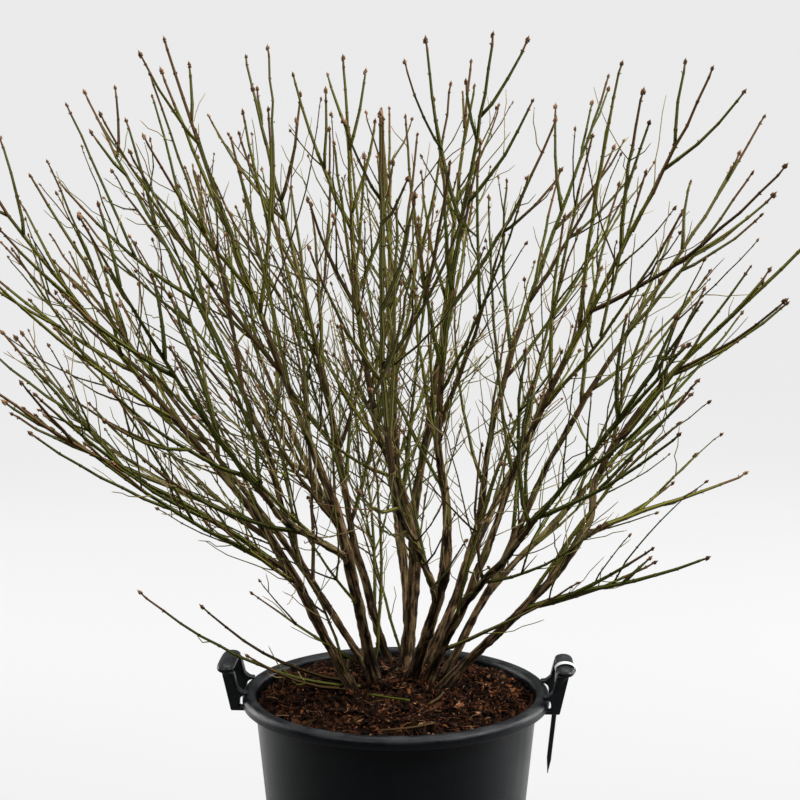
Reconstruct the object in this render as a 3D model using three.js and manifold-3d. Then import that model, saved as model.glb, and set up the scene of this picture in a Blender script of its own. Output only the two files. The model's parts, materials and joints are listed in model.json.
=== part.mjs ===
// A bare dwarf burning bush in its nursery tub: winter stems fanning up from one low stool.
// Millimetres, +Z up. The origin is the middle of the tub's flat underside. -Y faces the viewer.
import * as THREE from "three";
import { mergeVertices } from "three/addons/utils/BufferGeometryUtils.js";
import Module from "manifold-3d";

const wasm = await Module();
wasm.setup();

const GAP = 0.35; // clear joint between two pieces that touch

// Driving dimensions of the tub
const TUB_HEIGHT = 300;
const RIM_RADIUS = 185; // outside of the turned-down lip
const LIP_DEPTH = 13.5;
const LIP_BEND = 7.5; // outside radius of the lip's two bends
const WALL = 2.5;
const BODY_TOP_RADIUS = 170.5;
const BODY_FOOT_RADIUS = 141.5;
const TUB_SIDES = 36;
const DRAIN_HOLES = 8;
const DRAIN_RADIUS = 8;
const DRAIN_CIRCLE = 104;

// Driving dimensions of the two lifting handles
const HANDLE_HALF = 38; // half its width along the rim
const HANDLE_TURN = -2.5; // degrees, both stand this far round from the X axis
const LEG_WIDTH = 12; // along the rim
const LEG_THICK = 12; // across the rim
const LEG_LEAN = 10.5; // the leg's top stands this much further out than its foot
const HANDLE_FOOT = -18.5; // against the rim's top
const GRIP_RISE = 30; // the grip's middle above the rim
const GRIP_WIDTH = 21.5;
const GRIP_HEIGHT = 11;
const GRIP_ARCH = 3;
const GRIP_X = RIM_RADIUS + 17.5;
const GRIP_Z = TUB_HEIGHT + GRIP_RISE;

// Driving dimensions of the label strap looped over the right handle
const STRAP_PLACE = -19; // towards the viewer from the middle of the grip
const STRAP_WIDTH = 12;
const STRAP_THICK = 1;
const STRAP_DROP = 125;
const STRAP_POINT = 18;
const STRAP_TWIST = 24; // degrees
const STRAP_LEAN = 4.6; // degrees, its point hangs in towards the tub

// Driving dimensions of the potting bark
const SOIL_DROP = 10; // its edge lies this far under the rim
const SOIL_MOUND = 13; // and its middle this much higher
const SOIL_BUMP = 3.5;
const SOIL_RINGS = 6;

// Driving dimensions of the plant
const GROUND = TUB_HEIGHT - SOIL_DROP + SOIL_MOUND;
const STOOL = { x: 4, y: 20, radius: 50, height: 12 };
const FOCUS_DEPTH = 20; // limbs fan out from a point this far under the ground
const REACH = 850; // longest shoots, from the focus
const TOP_DIP = 0.085; // how much shorter the middle of the head is
const SKIRT_DIP = 0.64; // how much shorter the lowest shoots are
const SKIRT_START = 33; // degrees from upright
const SKIRT_END = 74;
const LOW_DIP = 0.1; // how much shorter side shoots are low down
const LOW_START = 45; // degrees from upright
const LOW_END = 60;
const RIGHT_DIP = 0.14; // and on the right
const ENTRY = 0.46; // boughs end at this share of the reach
const HEEL = 5; // a heel is this much thicker at the middle of the stool than its foot
const HEEL_LEAST = 12; // least radius of a heel where its stem stands on it
const FOOT_LENGTH = 36; // the stool holds this much of each stem
const FLARE = 1.5; // root flare at the ground
const FLARE_LENGTH = 22;
const FORK_THICK = 0.82; // a stem's thickness at its fork against above its flare
const AFTER_FORK = 0.85; // and what is left of it past the fork
const BOUGH_SHARE = 0.74; // a side bough's thickness against its stem's
const BOUGH_TIP = 7.4;
const BOUGH_LEAST = 110; // a head nearer to its stem than this springs from it directly

// One row for each stem. Foot is its distance and azimuth from the middle of the stool. Fork is
// the distance, lean and azimuth, from the focus, of the place where it forks. Each head of twigs
// that it carries has a lean and an azimuth. The first is at its tip, the others spring from its
// side at a share of its length. Degrees: lean is from upright, azimuth is seen from above, with 0
// to the right and 270 towards the viewer.
const STEMS = [
  { foot: [65, 218], fork: [287, 37, 200], thick: 12.5, heads: [[37, 192], [50, 208, 0.34], [53, 180, 0.45]] },
  { foot: [28, 159], fork: [211, 40, 156], thick: 10, heads: [[29, 163], [43, 153, 0.4]] },
  { foot: [33, 213], fork: [279, 25, 231], thick: 14.5, heads: [[22, 218], [41, 235, 0.36]] },
  { foot: [31, 105], fork: [194, 26, 130], thick: 11.5, heads: [[16, 148], [38, 127, 0.4]] },
  { foot: [10, 53], fork: [203, 10, 62], thick: 17, heads: [[5, 195], [14, 62, 0.5]] },
  { foot: [19, 302], fork: [221, 26, 305], thick: 15.5, heads: [[16, 296], [35, 268, 0.32]] },
  { foot: [35, 47], fork: [198, 36, 40], thick: 13, heads: [[25, 40], [44, 52, 0.42]] },
  { foot: [33, 327], fork: [226, 36, 314], thick: 12, heads: [[28, 325], [45, 303, 0.34]] },
  { foot: [49, 9], fork: [197, 41, 18], thick: 11, heads: [[33, 12], [48, 26, 0.38]] },
  { foot: [55, 321], fork: [324, 45, 347], thick: 11.5, heads: [[40, 349], [57, 3, 0.45], [61, 336, 0.25]] },
  { foot: [50, 74], fork: [174, 41, 87], thick: 10, heads: [[30, 92], [47, 92, 0.38]] },
];

// Low shoots from the left of the stool: foot distance and azimuth, length, lean and azimuth.
const LOW_SHOOTS = [
  { foot: [49, 226], shoot: [302, 64, 194] },
  { foot: [50, 194], shoot: [212, 62, 189] },
  { foot: [67, 219], shoot: [143, 68, 200] },
];

// Driving dimensions of the twigs
const LEADER_THICK = 6.2;
const TIP_THICK = 2.6;
const LEADER_STEPS = 4;
const SHOOT = { thick: 4.4, steps: 2 };
const SPUR = { thick: 3.2, steps: 1 };
const SHOOT_PAIRS = 4; // opposite pairs of side shoots on each leader
const SHOOT_ANGLE = [22, 38]; // degrees from the leader, least and most
const SHOOT_FILL = [0.5, 0.94]; // share of the way to the outline that a side shoot reaches
const SPUR_SHARE = 0.42; // a spur leaves its shoot here
const SPUR_LEAST = 190; // only shoots longer than this carry a spur
const UPTURN = 0.12; // shoots end this much nearer to upright
const TWIG_CLEAR = 1.3; // space kept between twigs
const SMOOTHING = 0.25; // facets smaller than this are merged where twigs join
const SEED = 4127;

const { clamp, lerp, smoothstep, degToRad, radToDeg } = THREE.MathUtils;
const vec = (x, y, z) => new THREE.Vector3(x, y, z);
const flat = (x, y) => new THREE.Vector2(x, y);
const pad = (n) => String(n).padStart(2, "0");
const UP = vec(0, 0, 1);
const FOCUS = vec(STOOL.x, STOOL.y, GROUND - FOCUS_DEPTH);

// The unit vector that leans from upright by lean degrees, towards azimuth.
function heading(lean, azimuth) {
  const [tip, turn] = [degToRad(lean), degToRad(azimuth)];
  return vec(Math.sin(tip) * Math.cos(turn), Math.sin(tip) * Math.sin(turn), Math.cos(tip));
}

// Repeatable random numbers from 0 to 1.
function seeded(seed) {
  let state = seed >>> 0;
  return () => {
    state = (state + 0x6d2b79f5) >>> 0;
    let t = Math.imul(state ^ (state >>> 15), state | 1);
    t ^= t + Math.imul(t ^ (t >>> 7), t | 61);
    return ((t ^ (t >>> 14)) >>> 0) / 4294967296;
  };
}

// The unit vector between two ways, at a share from the first to the second.
const blend = (a, b, share) => a.clone().lerp(b, share).normalize();
const towards = (a, b) => b.clone().sub(a).normalize();

// Points along a cubic curve that leaves start along out and arrives at end along into.
function sweep(start, out, end, into, steps) {
  const pull = start.distanceTo(end) / 3;
  const leave = start.clone().addScaledVector(out, pull);
  const arrive = end.clone().addScaledVector(into, -pull);
  return new THREE.CubicBezierCurve3(start, leave, arrive, end).getPoints(steps);
}

// How far the head reaches from the focus at a lean.
function reachAt(lean) {
  const top = 1 - TOP_DIP * (1 - smoothstep(lean, 4, 26));
  return REACH * top * (1 - SKIRT_DIP * smoothstep(lean, SKIRT_START, SKIRT_END));
}

// How far side shoots reach in a way from the focus: less low down and on the right.
function reachTowards(way) {
  const lean = radToDeg(Math.acos(clamp(way.z, -1, 1)));
  const low = 1 - LOW_DIP * smoothstep(lean, LOW_START, LOW_END);
  return reachAt(lean) * low * (1 - RIGHT_DIP * smoothstep(way.x, 0.35, 0.7));
}

// A limb's point, way and radius at a share of its length.
function along(limb, share) {
  const last = limb.points.length - 1;
  const i = Math.min(Math.floor(share * last), last - 1);
  const t = share * last - i;
  const [a, b] = [limb.points[i], limb.points[i + 1]];
  return {
    point: a.clone().lerp(b, t),
    way: towards(a, b),
    radius: lerp(limb.radii[i], limb.radii[i + 1], t),
  };
}

// Radii that fall evenly from the first diameter to the last.
const taper = (points, first, last) =>
  points.map((_, i) => lerp(first, last, i / (points.length - 1)) / 2);

// A unit vector square to a way.
function squareTo(way) {
  const side = Math.abs(way.z) < 0.9 ? UP : vec(1, 0, 0);
  return side.clone().cross(way).normalize();
}

// The way and the first side of a limb at each point, without a twist from point to point.
function framesOf(points) {
  let across = null;
  return points.map((_, i) => {
    const before = points[Math.max(i - 1, 0)];
    const after = points[Math.min(i + 1, points.length - 1)];
    const way = towards(before, after);
    across = across ?? squareTo(way);
    across = across.clone().addScaledVector(way, -across.dot(way)).normalize();
    return { way, across, deep: across.clone().cross(way) };
  });
}

// A round tapering limb: a cylinder whose rings are moved onto the limb's points. Extra thickens
// it and lengthens its ends.
function limbSolid({ points, radii }, sides, extra = 0) {
  const last = points.length - 1;
  const tube = closed(new THREE.CylinderGeometry(1, 1, last, sides, last));
  const frames = framesOf(points);
  const p = tube.attributes.position;
  const spot = vec(0, 0, 0);
  for (let k = 0; k < p.count; k++) {
    const [x, z, i] = [p.getX(k), p.getZ(k), Math.round(p.getY(k) + last / 2)];
    const { way, across, deep } = frames[i];
    const thick = radii[i] + extra;
    spot.copy(points[i]).addScaledVector(across, x * thick).addScaledVector(deep, z * thick);
    if (i === 0) spot.addScaledVector(way, -extra);
    if (i === last) spot.addScaledVector(way, extra);
    p.setXYZ(k, spot.x, spot.y, spot.z);
  }
  return solidOf(tube).simplify();
}

function solidFrom(vertProperties, triVerts) {
  return new wasm.Manifold(new wasm.Mesh({ numProp: 3, vertProperties, triVerts }));
}

// A geometry with only its places, and the corners along its seams merged.
function closed(geometry) {
  const bare = geometry.clone();
  bare.deleteAttribute("normal");
  bare.deleteAttribute("uv");
  return mergeVertices(bare, 1e-3);
}

// A three.js geometry as a solid.
function solidOf(geometry) {
  const { attributes, index } = closed(geometry);
  return solidFrom(attributes.position.array, new Uint32Array(index.array));
}

// A solid as a three.js geometry.
function geometryOf(solid) {
  const made = solid.getMesh();
  const position = new Float32Array(made.numVert * 3);
  for (let i = 0; i < made.numVert; i++)
    for (let k = 0; k < 3; k++)
      position[i * 3 + k] = made.vertProperties[i * made.numProp + k];
  const geometry = new THREE.BufferGeometry();
  geometry.setAttribute("position", new THREE.BufferAttribute(position, 3));
  geometry.setIndex(new THREE.BufferAttribute(made.triVerts, 1));
  geometry.computeVertexNormals();
  return geometry;
}

// The largest body of a cut solid, without the slivers beside it.
function largest(solid) {
  return solid.decompose().reduce((a, b) => (b.volume() > a.volume() ? b : a));
}

const unionOf = (solids) => wasm.Manifold.union(solids);

// The least distance between segments a-b and c-d.
function segmentGap(a, b, c, d) {
  const [u, v, w] = [b.clone().sub(a), d.clone().sub(c), a.clone().sub(c)];
  const [uu, uv, vv, uw, vw] = [u.dot(u), u.dot(v), v.dot(v), u.dot(w), v.dot(w)];
  const det = uu * vv - uv * uv;
  let s = det > 1e-9 ? clamp((uv * vw - vv * uw) / det, 0, 1) : 0;
  const t = clamp((uv * s + vw) / vv, 0, 1);
  s = clamp((uv * t - uw) / uu, 0, 1);
  return w.addScaledVector(u, s).addScaledVector(v, -t).length();
}

// Every limb grown so far.
const grown = [];

function remember(limb) {
  grown.push(limb);
  return limb;
}

// Whether a new limb keeps clear of all others. It meets its own parent only at its root.
function isClear(limb) {
  const { points, radii, parent } = limb;
  for (const other of grown)
    for (let k = 0; k + 1 < other.points.length; k++)
      for (let i = other === parent ? 1 : 0; i + 1 < points.length; i++) {
        const need = radii[i] + other.radii[k] + TWIG_CLEAR;
        if (segmentGap(points[i], points[i + 1], other.points[k], other.points[k + 1]) < need)
          return false;
      }
  return true;
}

// A place on the stool, at a height from the ground.
function onStool([distance, azimuth], height) {
  const turn = degToRad(azimuth);
  return vec(
    STOOL.x + distance * Math.cos(turn),
    STOOL.y + distance * Math.sin(turn),
    GROUND + height,
  );
}

// A stem, from under the ground past its fork to the space of its first head.
function growStem({ foot, fork, thick, heads }) {
  const start = onStool(foot, -8);
  const [distance, ...forkWay] = fork;
  const middle = FOCUS.clone().addScaledVector(heading(...forkWay), distance);
  const { end, way } = entryOf(heads[0]);
  const through = blend(towards(start, middle), towards(middle, end), 0.5);
  const lower = sweep(start, towards(start, middle), middle, through, 4);
  const upper = sweep(middle, through, end, way, 4);
  const points = [...lower, ...upper.slice(1)];
  const radii = points.map((p, i) => {
    const flare = 1 + (FLARE - 1) * Math.exp(-p.distanceTo(start) / FLARE_LENGTH);
    if (i <= 4) return (thick / 2) * flare * lerp(1, FORK_THICK, i / 4);
    return lerp(thick * FORK_THICK * AFTER_FORK, BOUGH_TIP, (i - 4) / 4) / 2;
  });
  return remember({ points, radii });
}

// Where a limb enters a head of twigs, and its way there.
function entryOf([lean, azimuth]) {
  const way = heading(lean, azimuth);
  return { end: FOCUS.clone().addScaledVector(way, ENTRY * reachAt(lean)), way };
}

// A side bough, from its stem's side to the space of its head.
function growBough(stem, thick, head) {
  const fork = along(stem, head[2]);
  const { end, way } = entryOf(head);
  const out = blend(fork.way, towards(fork.point, end), 0.75);
  const points = sweep(fork.point, out, end, way, 5);
  const first = thick * FORK_THICK * BOUGH_SHARE;
  const radii = taper(points, Math.max(first, BOUGH_TIP + 0.6), BOUGH_TIP);
  return remember({ points, radii, parent: stem });
}

// The leading shoot of a head, from its carrier's tip or side to the outline.
function growLeader(carrier, [lean, azimuth], share) {
  const way = heading(lean, azimuth);
  const seat = along(carrier, share);
  const start = seat.point;
  const end = FOCUS.clone().addScaledVector(way, reachAt(lean) * 0.985);
  const out = share === 1 ? seat.way : blend(seat.way, towards(start, end), 0.7);
  const points = sweep(start, out, end, blend(towards(start, end), UP, UPTURN), LEADER_STEPS);
  return remember({ points, radii: taper(points, LEADER_THICK, TIP_THICK), parent: carrier, way });
}

// Whether a point lies in a head's own space: nearer its way than any other head's, and inside
// the outline.
function inSpace(p, own, ways) {
  const way = towards(FOCUS, p);
  if (p.distanceTo(FOCUS) > reachTowards(way)) return false;
  return ways.every((other) => way.dot(other) <= way.dot(own) + 1e-9);
}

// One side shoot of a parent, or null where there is no room. Each new try turns it a little.
function growShoot(parent, share, turn, { thick, steps }, leader, ways, seed) {
  const seat = along(parent, share);
  const across = squareTo(seat.way);
  const up = seat.way.clone().cross(across);
  const outwards = towards(FOCUS, seat.point);
  const room = reachTowards(outwards) - seat.point.distanceTo(FOCUS);
  for (let attempt = 0; attempt < 5; attempt++) {
    const random = seeded(seed + attempt * 101);
    const angle = degToRad(lerp(...SHOOT_ANGLE, random()) * (1 - attempt * 0.1));
    const around = turn + (random() - 0.5) * 0.7 + attempt * 0.5;
    const length = Math.max(room, 60) * lerp(...SHOOT_FILL, random()) * (1 - attempt * 0.08);
    const side = across.clone().multiplyScalar(Math.cos(around));
    side.addScaledVector(up, Math.sin(around));
    const out = seat.way.clone().multiplyScalar(Math.cos(angle));
    out.addScaledVector(side, Math.sin(angle));
    const into = blend(blend(out, outwards, 0.5), UP, UPTURN);
    const end = seat.point.clone().addScaledVector(blend(out, into, 0.5), length);
    const points = sweep(seat.point, out, end, into, steps);
    const radii = taper(points, Math.min(thick, seat.radius * 2), TIP_THICK * 0.9);
    const shoot = { points, radii, parent };
    const inside = points.slice(1).every((p) => inSpace(p, leader.way, ways));
    if (inside && isClear(shoot)) return remember(shoot);
  }
  return null;
}

// A head of twigs: its leader, opposite pairs of side shoots that turn a quarter from pair to
// pair, and a spur on each long shoot.
function growHead(leader, ways, index) {
  const twigs = [leader];
  const first = SEED + index * 977;
  const quarter = seeded(first)() * Math.PI;
  for (let i = 0; i < SHOOT_PAIRS * 2; i++) {
    const [pair, half] = [Math.floor(i / 2), i % 2];
    const share = lerp(0.06, 0.8, (pair + 0.25 * half) / (SHOOT_PAIRS - 0.75));
    const turn = quarter + (pair * Math.PI) / 2 + half * Math.PI;
    const seed = first + pair * 31 + half * 7;
    const shoot = growShoot(leader, share, turn, SHOOT, leader, ways, seed);
    if (!shoot) continue;
    twigs.push(shoot);
    if (shoot.points[0].distanceTo(shoot.points.at(-1)) < SPUR_LEAST) continue;
    const side = turn + Math.PI / 2;
    const spur = growShoot(shoot, SPUR_SHARE, side, SPUR, leader, ways, seed + 13);
    if (spur) twigs.push(spur);
  }
  return twigs;
}

// A low shoot that leaves the stool nearly level and turns up to its tip.
function growLowShoot({ foot, shoot }) {
  const [length, lean, azimuth] = shoot;
  const start = onStool(foot, 3);
  const end = start.clone().addScaledVector(heading(lean, azimuth), length);
  const out = heading(Math.min(lean + 24, 86), azimuth);
  const points = sweep(start, out, end, heading(lean - 18, azimuth), 5);
  return remember({ points, radii: taper(points, SHOOT.thick, TIP_THICK) });
}

// The part of a limb before a length from its first point, and the part after it.
function splitLimb({ points, radii }, length) {
  const i = points.findIndex((p) => p.distanceTo(points[0]) > length);
  const before = points[i - 1].distanceTo(points[0]);
  const t = (length - before) / (points[i].distanceTo(points[0]) - before);
  const cut = points[i - 1].clone().lerp(points[i], t);
  const start = cut.clone().addScaledVector(towards(points[i - 1], points[i]), GAP);
  const radius = lerp(radii[i - 1], radii[i], t);
  return {
    lower: { points: [...points.slice(0, i), cut], radii: [...radii.slice(0, i), radius] },
    upper: { points: [start, ...points.slice(i)], radii: [radius, ...radii.slice(i)] },
  };
}

// What carries each head of twigs: its stem's tip, a side bough, or the side of the stem.
function carriersOf(stems) {
  return STEMS.flatMap(({ thick, heads }, s) =>
    heads.map((head, h) => {
      const seat = along(stems[s], head[2] ?? 1).point;
      const side = h > 0 && seat.distanceTo(entryOf(head).end) > BOUGH_LEAST;
      const limb = side ? growBough(stems[s], thick, head) : stems[s];
      const share = side || h === 0 ? 1 : head[2];
      return { head, limb, side, share, stem: s, name: `${pad(s + 1)}_${h + 1}` };
    }),
  );
}

// Everything above the ground, as solids by name.
function growPlant() {
  const solids = new Map();
  const stems = STEMS.map(growStem);
  const carriers = carriersOf(stems);
  const leaders = carriers.map(({ limb, head, share }) => growLeader(limb, head, share));
  const low = LOW_SHOOTS.map(growLowShoot);
  const ways = leaders.map((leader) => leader.way);
  const parts = stems.map((stem) => splitLimb(stem, FOOT_LENGTH));
  const feet = parts.map(({ lower }) => lower);
  const around = parts.map(({ upper }) => limbSolid(upper, 7, GAP));
  solids.set("stool", stoolSolid(feet));
  parts.forEach(({ upper }, s) => solids.set(`stem_${pad(s + 1)}`, limbSolid(upper, 7)));
  carriers.forEach(({ limb, side, stem, name }, i) => {
    if (side) {
      solids.set(`bough_${name}`, largest(limbSolid(limb, 6).subtract(around[stem])));
      around[stem] = around[stem].add(limbSolid(limb, 6, GAP));
    }
    const twigs = growHead(leaders[i], ways, i).map((twig) => limbSolid(twig, 3));
    const head = unionOf(twigs).simplify(SMOOTHING).subtract(around[stem]);
    solids.set(`twigs_${name}`, largest(head));
  });
  const room = stoolSolid(feet, GAP);
  low.forEach((shoot, i) => {
    solids.set(`low_shoot_${i + 1}`, largest(limbSolid(shoot, 4).subtract(room)));
  });
  return solids;
}

// The stool: a low woody dome that holds the flared feet of all stems, with a heel out to each,
// cut flat at the ground.
function stoolSolid(feet, extra = 0) {
  const { x, y, radius, height } = STOOL;
  const dome = Array.from({ length: 4 }, (_, i) => {
    const turn = (Math.PI / 2) * (i / 3);
    return flat(i < 3 ? (radius + extra) * Math.cos(turn) : 0, (height + extra) * Math.sin(turn));
  });
  const profile = [flat(0, -12), flat(radius + extra, -12), ...dome];
  const lump = new THREE.LatheGeometry(profile, 12).rotateX(Math.PI / 2);
  lump.translate(x, y, GROUND);
  const middle = vec(x, y, GROUND - 4);
  const heels = feet.map(({ points, radii }) => {
    const end = Math.max(radii[0], HEEL_LEAST);
    return limbSolid({ points: [middle, points[0]], radii: [radii[0] + HEEL, end] }, 5, extra);
  });
  const shanks = feet.map((foot) => limbSolid(foot, 7, extra));
  const woody = unionOf([solidOf(lump), ...heels, ...shanks]);
  const above = new THREE.BoxGeometry(900, 900, 400);
  above.translate(x, y, GROUND + GAP - extra + 200);
  return largest(woody.intersect(solidOf(above))).simplify(2 * SMOOTHING);
}

// Points of an arc for a lathe profile, from one angle to another in degrees.
function arc(x, y, radius, from, to, steps) {
  return Array.from({ length: steps + 1 }, (_, i) => {
    const turn = degToRad(lerp(from, to, i / steps));
    return flat(x + radius * Math.cos(turn), y + radius * Math.sin(turn));
  });
}

// The tub: a tapering wall, a flat floor with drain holes, and a lip turned out and down.
function tubSolid() {
  const [top, lip, inner] = [TUB_HEIGHT, TUB_HEIGHT - LIP_DEPTH, BODY_TOP_RADIUS - WALL];
  const profile = [
    flat(0, 0),
    flat(BODY_FOOT_RADIUS - 1.5, 0),
    flat(BODY_FOOT_RADIUS, 1.5),
    flat(BODY_TOP_RADIUS, top - LIP_BEND),
    flat(BODY_TOP_RADIUS + 2, top - WALL),
    flat(RIM_RADIUS - LIP_BEND, top - WALL),
    flat(RIM_RADIUS - WALL, top - LIP_BEND),
    flat(RIM_RADIUS - WALL, lip),
    flat(RIM_RADIUS, lip),
    ...arc(RIM_RADIUS - LIP_BEND, top - LIP_BEND, LIP_BEND, 0, 90, 3),
    ...arc(inner + LIP_BEND, top - LIP_BEND, LIP_BEND, 90, 180, 2),
    flat(BODY_FOOT_RADIUS - WALL, WALL + 3),
    flat(BODY_FOOT_RADIUS - WALL - 3, WALL),
    flat(0, WALL),
  ];
  const shell = solidOf(new THREE.LatheGeometry(profile, TUB_SIDES).rotateX(Math.PI / 2));
  const drills = Array.from({ length: DRAIN_HOLES }, (_, i) => {
    const turn = (2 * Math.PI * (i + 0.5)) / DRAIN_HOLES;
    const drill = new THREE.CylinderGeometry(DRAIN_RADIUS, DRAIN_RADIUS, 20, 8);
    drill.rotateX(Math.PI / 2);
    drill.translate(DRAIN_CIRCLE * Math.cos(turn), DRAIN_CIRCLE * Math.sin(turn), 0);
    return solidOf(drill);
  });
  return shell.subtract(unionOf(drills));
}

// The lip's outside, thickened by the gap, to cut the handles' feet to its shape.
function lipRoom() {
  const [top, radius] = [TUB_HEIGHT, LIP_BEND + GAP];
  const profile = [
    flat(0, top - LIP_DEPTH - GAP),
    flat(RIM_RADIUS + GAP, top - LIP_DEPTH - GAP),
    ...arc(RIM_RADIUS - LIP_BEND, top - LIP_BEND, radius, 0, 90, 3),
    flat(0, top + GAP),
  ];
  return solidOf(new THREE.LatheGeometry(profile, TUB_SIDES).rotateX(Math.PI / 2));
}

// A solid on the right-hand side, turned round the tub to where the handle stands.
const turnedSolid = (geometry) => solidOf(geometry.rotateZ(degToRad(HANDLE_TURN)));

// The right-hand lifting handle: two leaning legs whose feet grip the lip, and a rounded grip.
function handleSolid() {
  const [foot, out] = [RIM_RADIUS - 1.5, RIM_RADIUS - 1.5 + LEG_THICK];
  const rise = GRIP_RISE - 2;
  const side = new THREE.Shape([
    flat(foot - 8, HANDLE_FOOT),
    flat(out, HANDLE_FOOT),
    flat(out + LEG_LEAN, rise),
    flat(foot + LEG_LEAN - 2, rise),
    flat(foot + 3.5, 8),
    flat(foot - 2, 3.5),
    flat(foot - 8, 3),
  ]);
  const legs = [-HANDLE_HALF + LEG_WIDTH, HANDLE_HALF].map((y) => {
    const leg = new THREE.ExtrudeGeometry(side, { depth: LEG_WIDTH, bevelEnabled: false });
    return leg.rotateX(Math.PI / 2).translate(0, y, TUB_HEIGHT);
  });
  const solids = [...legs, gripGeometry()].map(turnedSolid);
  return largest(unionOf(solids).subtract(lipRoom()));
}

// The grip: an oval bar along Y whose middle arches up and whose ends are rounded.
function gripGeometry() {
  const bar = new THREE.CylinderGeometry(1, 1, 2, 10, 6);
  const p = bar.attributes.position;
  for (let i = 0; i < p.count; i++) {
    const y = p.getY(i);
    const oval = Math.abs(y) > 0.99 ? 0.7 : 1;
    p.setXYZ(
      i,
      GRIP_X + p.getX(i) * oval * (GRIP_WIDTH / 2),
      Math.sign(y) * Math.min(Math.abs(y) * 1.42, 1 + 0.03 * Math.abs(y)) * HANDLE_HALF,
      GRIP_Z + GRIP_ARCH * (1 - y * y) + p.getZ(i) * oval * (GRIP_HEIGHT / 2),
    );
  }
  return bar;
}

// The label strap: a thin band around the grip with a tail that hangs in the arch to a point.
function strapSolid() {
  const height = GRIP_Z + GRIP_ARCH * (1 - (STRAP_PLACE / HANDLE_HALF) ** 2);
  const [across, deep] = [GRIP_WIDTH / 2 + 0.9, GRIP_HEIGHT / 2 + 1.4];
  const oval = (path, more, clockwise) =>
    path.absellipse(GRIP_X, height, across + more, deep + more, 0, 2 * Math.PI, clockwise, 0);
  const band = oval(new THREE.Shape(), STRAP_THICK, false);
  band.holes.push(oval(new THREE.Path(), 0, true));
  const half = STRAP_WIDTH / 2;
  const loop = new THREE.ExtrudeGeometry(band, {
    depth: STRAP_WIDTH - 2,
    bevelEnabled: false,
    curveSegments: 9,
  });
  loop.rotateX(Math.PI / 2).translate(0, STRAP_PLACE + half - 1, 0);
  const tail = new THREE.Shape([
    flat(half, 0),
    flat(-half, 0),
    flat(-half, STRAP_POINT - STRAP_DROP),
    flat(0, -STRAP_DROP),
    flat(half, STRAP_POINT - STRAP_DROP),
  ]);
  const hang = new THREE.ExtrudeGeometry(tail, { depth: STRAP_THICK, bevelEnabled: false });
  hang.translate(0, 0, -STRAP_THICK / 2).rotateX(Math.PI / 2).rotateZ(Math.PI / 2);
  hang.rotateZ(degToRad(STRAP_TWIST)).rotateY(degToRad(STRAP_LEAN));
  hang.translate(GRIP_X - across * 0.78, STRAP_PLACE, height - deep * 0.66);
  return unionOf([loop, hang].map(turnedSolid));
}

// The height of the bark's top: a mound, level where the stool stands, with bumps around it.
function soilHeight(x, y) {
  const away = Math.hypot(x - STOOL.x, y - STOOL.y);
  const edge = Math.hypot(x, y) / BODY_TOP_RADIUS;
  const bumps =
    Math.sin(x * 0.083 + 1.3) * Math.cos(y * 0.071) + Math.sin(x * 0.031 - y * 0.055 + 2);
  const rough = smoothstep(away, 75, 105);
  const mound = SOIL_MOUND * (1 - smoothstep(edge, 0.6, 1));
  return TUB_HEIGHT - SOIL_DROP + mound + rough * (bumps - 1) * SOIL_BUMP * 0.5;
}

// The potting bark: it fills the tub, with a mounded and uneven top.
function soilSolid() {
  const slope = (BODY_TOP_RADIUS - BODY_FOOT_RADIUS) / (TUB_HEIGHT - LIP_BEND - WALL - 3);
  const side = (z) => BODY_FOOT_RADIUS - WALL - 2 * GAP + slope * (z - WALL - 3);
  const bottom = WALL + GAP;
  const brim = TUB_HEIGHT - SOIL_DROP;
  const edge = side(brim - 2 * SOIL_BUMP); // clear of the wall where a bump dips at the edge
  const profile = [flat(0, bottom), flat(side(bottom) - 5, bottom), flat(side(bottom + 5), bottom + 5)];
  for (let i = SOIL_RINGS; i >= 0; i--) profile.push(flat((edge * i) / SOIL_RINGS, brim));
  const heap = new THREE.LatheGeometry(profile, TUB_SIDES).rotateX(Math.PI / 2);
  const p = heap.attributes.position;
  for (let i = 0; i < p.count; i++)
    if (p.getZ(i) > brim - 1) p.setZ(i, soilHeight(p.getX(i), p.getY(i)));
  return solidOf(heap);
}

const finish = (color, roughness) =>
  new THREE.MeshStandardMaterial({ color, roughness, metalness: 0 });
const TUB_PLASTIC = finish(0x1d2124, 0.5);
const STRAP_PLASTIC = finish(0xb9bcae, 0.45);
const POTTING_BARK = finish(0x3d2317, 0.95);
const BARK = finish(0x4b382a, 0.85);
const TWIG = finish(0x4a5130, 0.7);

const bush = new THREE.Group();

function add(name, solid, material) {
  const mesh = new THREE.Mesh(geometryOf(solid), material);
  mesh.name = name;
  bush.add(mesh);
  return mesh;
}

add("tub", tubSolid(), TUB_PLASTIC);
add("handle_right", handleSolid(), TUB_PLASTIC);
add("handle_left", handleSolid(), TUB_PLASTIC).rotation.z = Math.PI;
add("label_strap", strapSolid(), STRAP_PLASTIC);
add("potting_bark", soilSolid(), POTTING_BARK);
for (const [name, solid] of growPlant())
  add(name, solid, /^(twigs|low)/.test(name) ? TWIG : BARK);

export default bush;
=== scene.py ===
"""A bare dwarf burning bush in its nursery tub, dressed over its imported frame.

The plant grows here by the same rule as its solids. Stems and boughs get bark with real relief, and each head of
twigs is carried on to finer twigs inside the same outline. Sizes are in millimetres until a mesh is made. +Z is
up and -Y faces the viewer.
"""
import json
import logging
import math
from collections.abc import Callable, Sequence
from dataclasses import dataclass, field
from enum import Enum, IntEnum

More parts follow.
